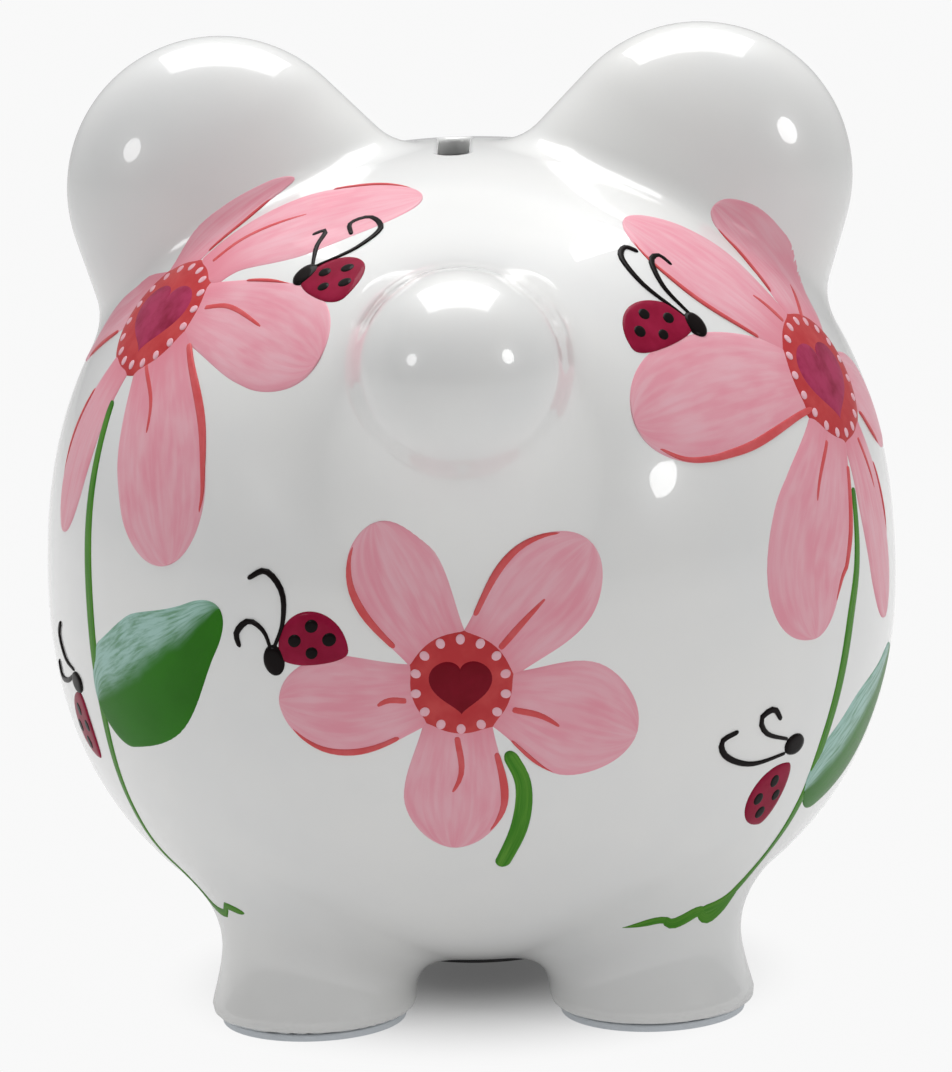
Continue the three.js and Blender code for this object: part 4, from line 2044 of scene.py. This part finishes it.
def right_motifs(form: PigForm) -> list[Flower | Ladybird | Greenery]:
    """The right flower, its stem, leaf, grass and two ladybirds.

    Args:
        form: The pig that they are painted on.

    Returns:
        The motifs, in the order they are painted.
    """
    high, low = Chart(form, 60.6, 25.7), Chart(form, 48.0, -20.0)
    stem = Stroke(
        (
            (22.6, 48), (20.3, 33.3), (15.8, 22), (11.9, 8.4), (9.1, -3.8),
            (8.5, -15.3), (6.9, -28.6), (-1, -35.6), (-9.5, -38.2),
        ),
        3.2, root=0.7, peak=0.3, tail=0.6, start=1.2, end=2.0,
    )
    grass = (
        Stroke(((-23.8, -45.1), (-18.2, -41.2), (-15.4, -40.6)), 1.7, root=0.3, start=3.0, end=1.0),
        Stroke(((-16.8, -40.2), (-14.6, -41.0), (-9.9, -38.2), (-7.6, -38.9)), 2.3, root=0.9, end=1.2),
        Stroke(
            ((-9.8, -38.0), (-7.2, -39.4), (-3.6, -38.0), (0.6, -35.4)),
            2.4, root=0.9, tail=0.5, end=3.0,
        ),
    )
    leaf = leaf_stroke(((8.0, -13.0), (25.0, -6.5), (46.0, 7.0)), 23.0)
    feelers = (
        ((-29.2, 20.5), (-32.6, 30.0), (-31.8, 37.6), (-28.4, 40.2), (-26.4, 37.9)),
        ((-27.5, 20.0), (-28.6, 28.0), (-26.0, 34.5), (-22.8, 35.5), (-22.0, 32.0)),
    )
    low_feelers = (
        ((-4.0, 1.8), (-10.8, 4.2), (-13.1, 7.6), (-9.8, 9.0), (-7.2, 6.4)),
        ((-3.8, -1.2), (-13.4, -1.8), (-20.4, 0.6), (-22.4, 4.0), (-18.6, 5.8)),
    )
    return [
        Greenery("right_stem", low, (stem, *grass), (leaf,)),
        side_flower_right("right_flower", high),
        Ladybird("right_ladybird", high, (-37.4, 19.2), 2.0, (-28.0, 18.4), feelers, 8.8, 6.8),
        Ladybird("right_low_ladybird", low, (-3.6, -10.6), 80.0, (-1.5, 0.2), low_feelers),
    ]


def back_motifs(form: PigForm) -> list[Flower | Ladybird | Greenery]:
    """A flower, stem, leaf and ladybird on each flank of the rump, one the other's mirror.

    Args:
        form: The pig that they are painted on.

    Returns:
        The motifs, in the order they are painted.
    """
    motifs: list[Flower | Ladybird | Greenery] = []
    for side, turn, mirrored in (("left", -136.0, True), ("right", 136.0, False)):
        high = Chart(form, turn, 24.0, mirrored=mirrored)
        low = Chart(form, turn, -20.0, mirrored=mirrored)
        stem = Stroke(
            ((-1, 52), (2.5, 30), (1.5, 8), (-2.5, -14), (-3, -34)),
            2.7, root=0.8, tail=0.5, end=3.0,
        )
        grass = grass_stroke(((-16, -38), (-9, -36.4), (-4, -38.5), (2, -36.2), (9, -37.6)), 1.8, 0.5)
        leaf = leaf_stroke(((1.5, 2.0), (16.0, 12.0), (33.0, 24.0)), 22.0)
        feelers = (
            ((-23.2, 6.0), (-22.0, 12.0), (-24.5, 16.5), (-28.4, 15.5)),
            ((-23.8, 5.6), (-27.0, 9.0), (-31.4, 9.2), (-32.0, 6.0)),
        )
        motifs += [
            Greenery(f"back_{side}_stem", low, (stem, grass), (leaf,)),
            side_flower_left(f"back_{side}_flower", high),
            Ladybird(f"back_{side}_ladybird", low, (-15.6, 3.4), 176.0, (-23.6, 2.8), feelers, belly=-1.0),
        ]
    return motifs


# ---- Studio ----


@dataclass(frozen=True)
class Studio:
    """Pale floor, plain surroundings, one big light above, one umbrella on each side, camera.

    Attributes:
        target: Where the camera looks, in mm.
        distance: From the target to the camera, in mm.
        azimuth: The camera's angle from the snout's side.
        elevation: Its angle above the target.
        roll: Its turn about its own line of sight.
        lens: Focal length, in mm.
        sensor: Width of its sensor, in mm.
        clip: Nearest and farthest distance that it sees, in metres.
        overhead_place: Where the light above is, in metres.
        overhead_size: Its size, in metres.
        overhead_power: Watts.
        umbrellas: Each umbrella's name, azimuth in degrees, size in metres and watts.
        umbrella_rise: Elevation of the umbrellas.
        umbrella_distance: From the middle of the bank, in metres.
        wall_near: Colour of the wall on the camera's side.
        wall_far: Colour of the wall beyond the bank.
        ceiling: Colour of the ceiling.
        floor_radius: Radius of the floor, in metres.
        floor_paper: Two colours that the floor's grain goes between.
        floor_glow: Share of the floor's own light close to the bank.
        glow_reach: Distances from the middle over which that share rises, in metres.
        glow_seen: How far it rises for the camera.
        glow_unseen: How far it rises for reflections and bounced light.
        paper: Brightness of floor and surroundings to the camera, away from the bank.
    """

    target: tuple[float, float, float] = (1.1, 7.0, 95.0)
    distance: float = 1090.0
    azimuth: float = math.radians(0.6)
    elevation: float = math.radians(10.53)
    roll: float = math.radians(1.8)
    lens: float = 192.3
    sensor: float = 36.0
    clip: tuple[float, float] = (0.02, 50.0)
    overhead_place: tuple[float, float, float] = (0.0, 0.30, 1.40)
    overhead_size: tuple[float, float] = (1.3, 1.0)
    overhead_power: float = 18.5
    umbrellas: tuple[tuple[str, float, float, float], ...] = (
        ("left_umbrella", -53.0, 0.25, 1.0),
        ("right_umbrella", 55.0, 0.29, 1.75),
    )
    umbrella_rise: float = math.radians(21.0)
    umbrella_distance: float = 1.25
    wall_near: Colour = (0.25, 0.25, 0.255)
    wall_far: Colour = (0.44, 0.44, 0.445)
    ceiling: Colour = (0.50, 0.50, 0.50)
    floor_radius: float = 6.0
    floor_paper: tuple[Colour, Colour] = ((0.70, 0.70, 0.70), (0.67, 0.67, 0.67))
    floor_glow: float = 0.1
    glow_reach: tuple[float, float] = (0.012, 0.072)
    glow_seen: float = 0.9
    glow_unseen: float = 0.3
    paper: float = 0.945

    def camera(self) -> bpy.types.Object:
        """Camera at a distance from its target, along an azimuth and elevation, rolled.

        Returns:
            The camera.
        """
        turn, rise, roll = self.azimuth, self.elevation, self.roll
        back = np.array([math.sin(turn) * math.cos(rise), -math.cos(turn) * math.cos(rise), math.sin(rise)])
        side = unit(np.cross(-back, UP))
        top = np.cross(side, -back)
        right = side * math.cos(roll) - top * math.sin(roll)
        above = side * math.sin(roll) + top * math.cos(roll)
        place = (np.array(self.target) + self.distance * back) * METRES
        data = bpy.data.cameras.new("camera")
        data.lens = self.lens
        data.sensor_width = self.sensor
        data.sensor_fit = "HORIZONTAL"
        data.clip_start, data.clip_end = self.clip
        camera = bpy.data.objects.new("camera", data)
        camera.matrix_world = Matrix([
            (right[0], above[0], back[0], place[0]),
            (right[1], above[1], back[1], place[1]),
            (right[2], above[2], back[2], place[2]),
            (0.0, 0.0, 0.0, 1.0),
        ])
        bpy.context.scene.collection.objects.link(camera)
        bpy.context.scene.camera = camera
        return camera

    def light(
        self,
        name: str,
        place: Sequence[float],
        size: Sequence[float],
        power: float,
        shape: str,
    ) -> None:
        """Area light that faces the middle of the bank.

        Args:
            name: Its name.
            place: Where it is, in metres.
            size: Width and height, in metres.
            power: Watts.
            shape: Blender's name for its outline.
        """
        data = bpy.data.lights.new(name, "AREA")
        data.shape = shape
        data.size, data.size_y = size
        data.energy = power
        lamp = bpy.data.objects.new(name, data)
        aim = Vector((0.0, 0.0, self.target[2] * METRES)) - Vector(place)
        turn = aim.to_track_quat("-Z", "Y").to_matrix().to_4x4()
        lamp.matrix_world = Matrix.Translation(Vector(place)) @ turn
        bpy.context.scene.collection.objects.link(lamp)

    def lights(self) -> None:
        """A big soft light overhead and an umbrella to each side of the camera."""
        self.light("overhead", self.overhead_place, self.overhead_size, self.overhead_power, "RECTANGLE")
        flat = self.umbrella_distance * math.cos(self.umbrella_rise)
        height = self.umbrella_distance * math.sin(self.umbrella_rise) + self.target[2] * METRES
        for name, azimuth, size, power in self.umbrellas:
            turn = math.radians(azimuth)
            place = (flat * math.sin(turn), -flat * math.cos(turn), height)
            self.light(name, place, (size, size), power, "DISK")

    def surroundings(self) -> None:
        """Grey walls and a paler ceiling around the bank; the camera sees plain paper instead.

        A ray's own direction sets its colour: Y goes from the near wall to the far one, and Z
        from the walls to the ceiling.
        """
        world = bpy.data.worlds.new("surroundings")
        world.use_nodes = True
        bpy.context.scene.world = world
        graph = Graph(world.node_tree)
        ray = graph.add("ShaderNodeTexCoord", output="Generated")
        height = graph.add("ShaderNodeSeparateXYZ", None, {0: ray}, "Z")
        depth = graph.add("ShaderNodeSeparateXYZ", None, {0: ray}, "Y")
        walls = graph.mix(depth.between(-0.6, 0.5), self.wall_near, self.wall_far)
        room = graph.mix(height.between(0.15, 0.9), walls, self.ceiling)
        seen = graph.add("ShaderNodeLightPath", output="Is Camera Ray")
        colour = graph.mix(seen, room, (self.paper,) * 3)
        shader = graph.add("ShaderNodeBackground", None, {"Color": colour, "Strength": 1.0})
        graph.add("ShaderNodeOutputWorld", None, {"Surface": shader})

    def floor(self) -> bpy.types.Object:
        """Wide round floor of matt paper, which is evenly bright away from the bank.

        Its rings lie at a radius that grows with the square of their number. Its finish is a mix
        of matt paper and light of its own, which takes a bigger share for the camera than for
        reflections and bounced light.

        Returns:
            The floor.
        """
        sides, rings = 96, 24
        turn = np.linspace(0.0, 2 * np.pi, sides, endpoint=False)
        radius = np.linspace(0.02, 1.0, rings)[:, None] ** 2 * self.floor_radius
        x, y = radius * np.cos(turn), radius * np.sin(turn)
        points = np.stack([x, y, np.zeros_like(x)], -1)
        faces = Patch(points).quads().tolist() + [list(range(sides))]
        mesh = bpy.data.meshes.new("floor")
        mesh.from_pydata(points.reshape(-1, 3).tolist(), [], faces)
        material, graph = new_graph("floor_paper")
        place = graph.place()
        reach = graph.add("ShaderNodeVectorMath", {"operation": "LENGTH"}, {0: place}, "Value")
        grain = graph.noise(place, scale=700.0, detail=3.0)
        colour = graph.mix(grain, *self.floor_paper)
        matt = graph.add("ShaderNodeBsdfDiffuse", None, {"Color": colour})
        bright = graph.add("ShaderNodeEmission", None, {"Color": (self.paper,) * 3 + (1.0,)})
        seen = graph.add("ShaderNodeLightPath", output="Is Camera Ray")
        rise = self.glow_unseen + seen * (self.glow_seen - self.glow_unseen)
        share = self.floor_glow + reach.between(*self.glow_reach) * rise
        mixed = graph.add("ShaderNodeMixShader", None, {0: share, 1: matt, 2: bright})
        graph.add("ShaderNodeOutputMaterial", None, {"Surface": mixed})
        mesh.materials.append(material)
        mesh.update()
        floor = bpy.data.objects.new("floor", mesh)
        bpy.context.scene.collection.objects.link(floor)
        return floor

    def build(self) -> None:
        """Sets up camera, lights, surroundings and floor."""
        bpy.context.scene.view_settings.view_transform = "Standard"
        self.camera()
        self.lights()
        self.surroundings()
        self.floor()


def enamels() -> dict[Finish, bpy.types.Material]:
    """One material for each painted finish.

    Returns:
        Each finish's material.
    """
    petal = BrushedEnamel("petal_enamel", (0.77, 0.31, 0.38), (0.79, 0.44, 0.50), (0.70, 0.20, 0.26))
    stem = BrushedEnamel(
        "stem_enamel",
        deep=(0.035, 0.19, 0.010),
        pale=(0.12, 0.31, 0.035),
        root=(0.03, 0.15, 0.010),
        root_reach=0.05,
        streaks=0.8,
    )
    plum = PlainEnamel("plum_heart_enamel", (0.40, 0.035, 0.105), (0.24, 0.010, 0.04))
    return {
        Finish.PETAL: petal.make(),
        Finish.DOT: PlainEnamel("dot_enamel", (0.78, 0.47, 0.53), (0.78, 0.40, 0.46)).make(),
        Finish.LINE: PlainEnamel("line_enamel", (0.62, 0.085, 0.09), (0.66, 0.13, 0.14)).make(),
        Finish.DISC: PlainEnamel("disc_enamel", (0.49, 0.04, 0.045), (0.56, 0.07, 0.07)).make(),
        Finish.HEART: PlainEnamel("heart_enamel", (0.17, 0.002, 0.010), (0.21, 0.004, 0.016)).make(),
        Finish.PLUM_HEART: plum.make(),
        Finish.BUG: PlainEnamel("ladybird_enamel", (0.24, 0.004, 0.03), (0.30, 0.010, 0.045)).make(),
        Finish.LEAF: LeafEnamel().make(),
        Finish.STEM: stem.make(),
        Finish.BLACK: PlainEnamel("black_enamel", (0.004, 0.002, 0.002), (0.007, 0.004, 0.004)).make(),
    }


def corners(box: object) -> list[list[float]]:
    """Lowest and highest corner of a box as plain numbers."""
    return [[float(value) for value in corner] for corner in box]


def main() -> None:
    """Builds the bank's pieces in order, then the studio."""
    logging.basicConfig(level=logging.INFO, format="%(name)s: %(message)s")
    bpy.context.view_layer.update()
    form = PigForm()
    glaze = WhiteGlaze().make()
    CeramicShell(form).build(glaze)
    Tail(form).build(glaze)
    stopper_rubber = Rubber("stopper_rubber", (0.020, 0.020, 0.021), (0.045, 0.045, 0.046))
    BellyStopper().build(stopper_rubber.make())
    pad_rubber = Rubber("pad_rubber", (0.66, 0.70, 0.74), (0.72, 0.75, 0.78), roughness=0.5)
    FootPads(form).build(pad_rubber.make())
    work = Paintwork(enamels())
    for motifs in (front_motifs, left_motifs, right_motifs, back_motifs):
        for motif in motifs(form):
            motif.paint(work)
    work.build()
    Studio().build()
    bpy.context.view_layer.update()


if __name__ == "__main__":
    main()
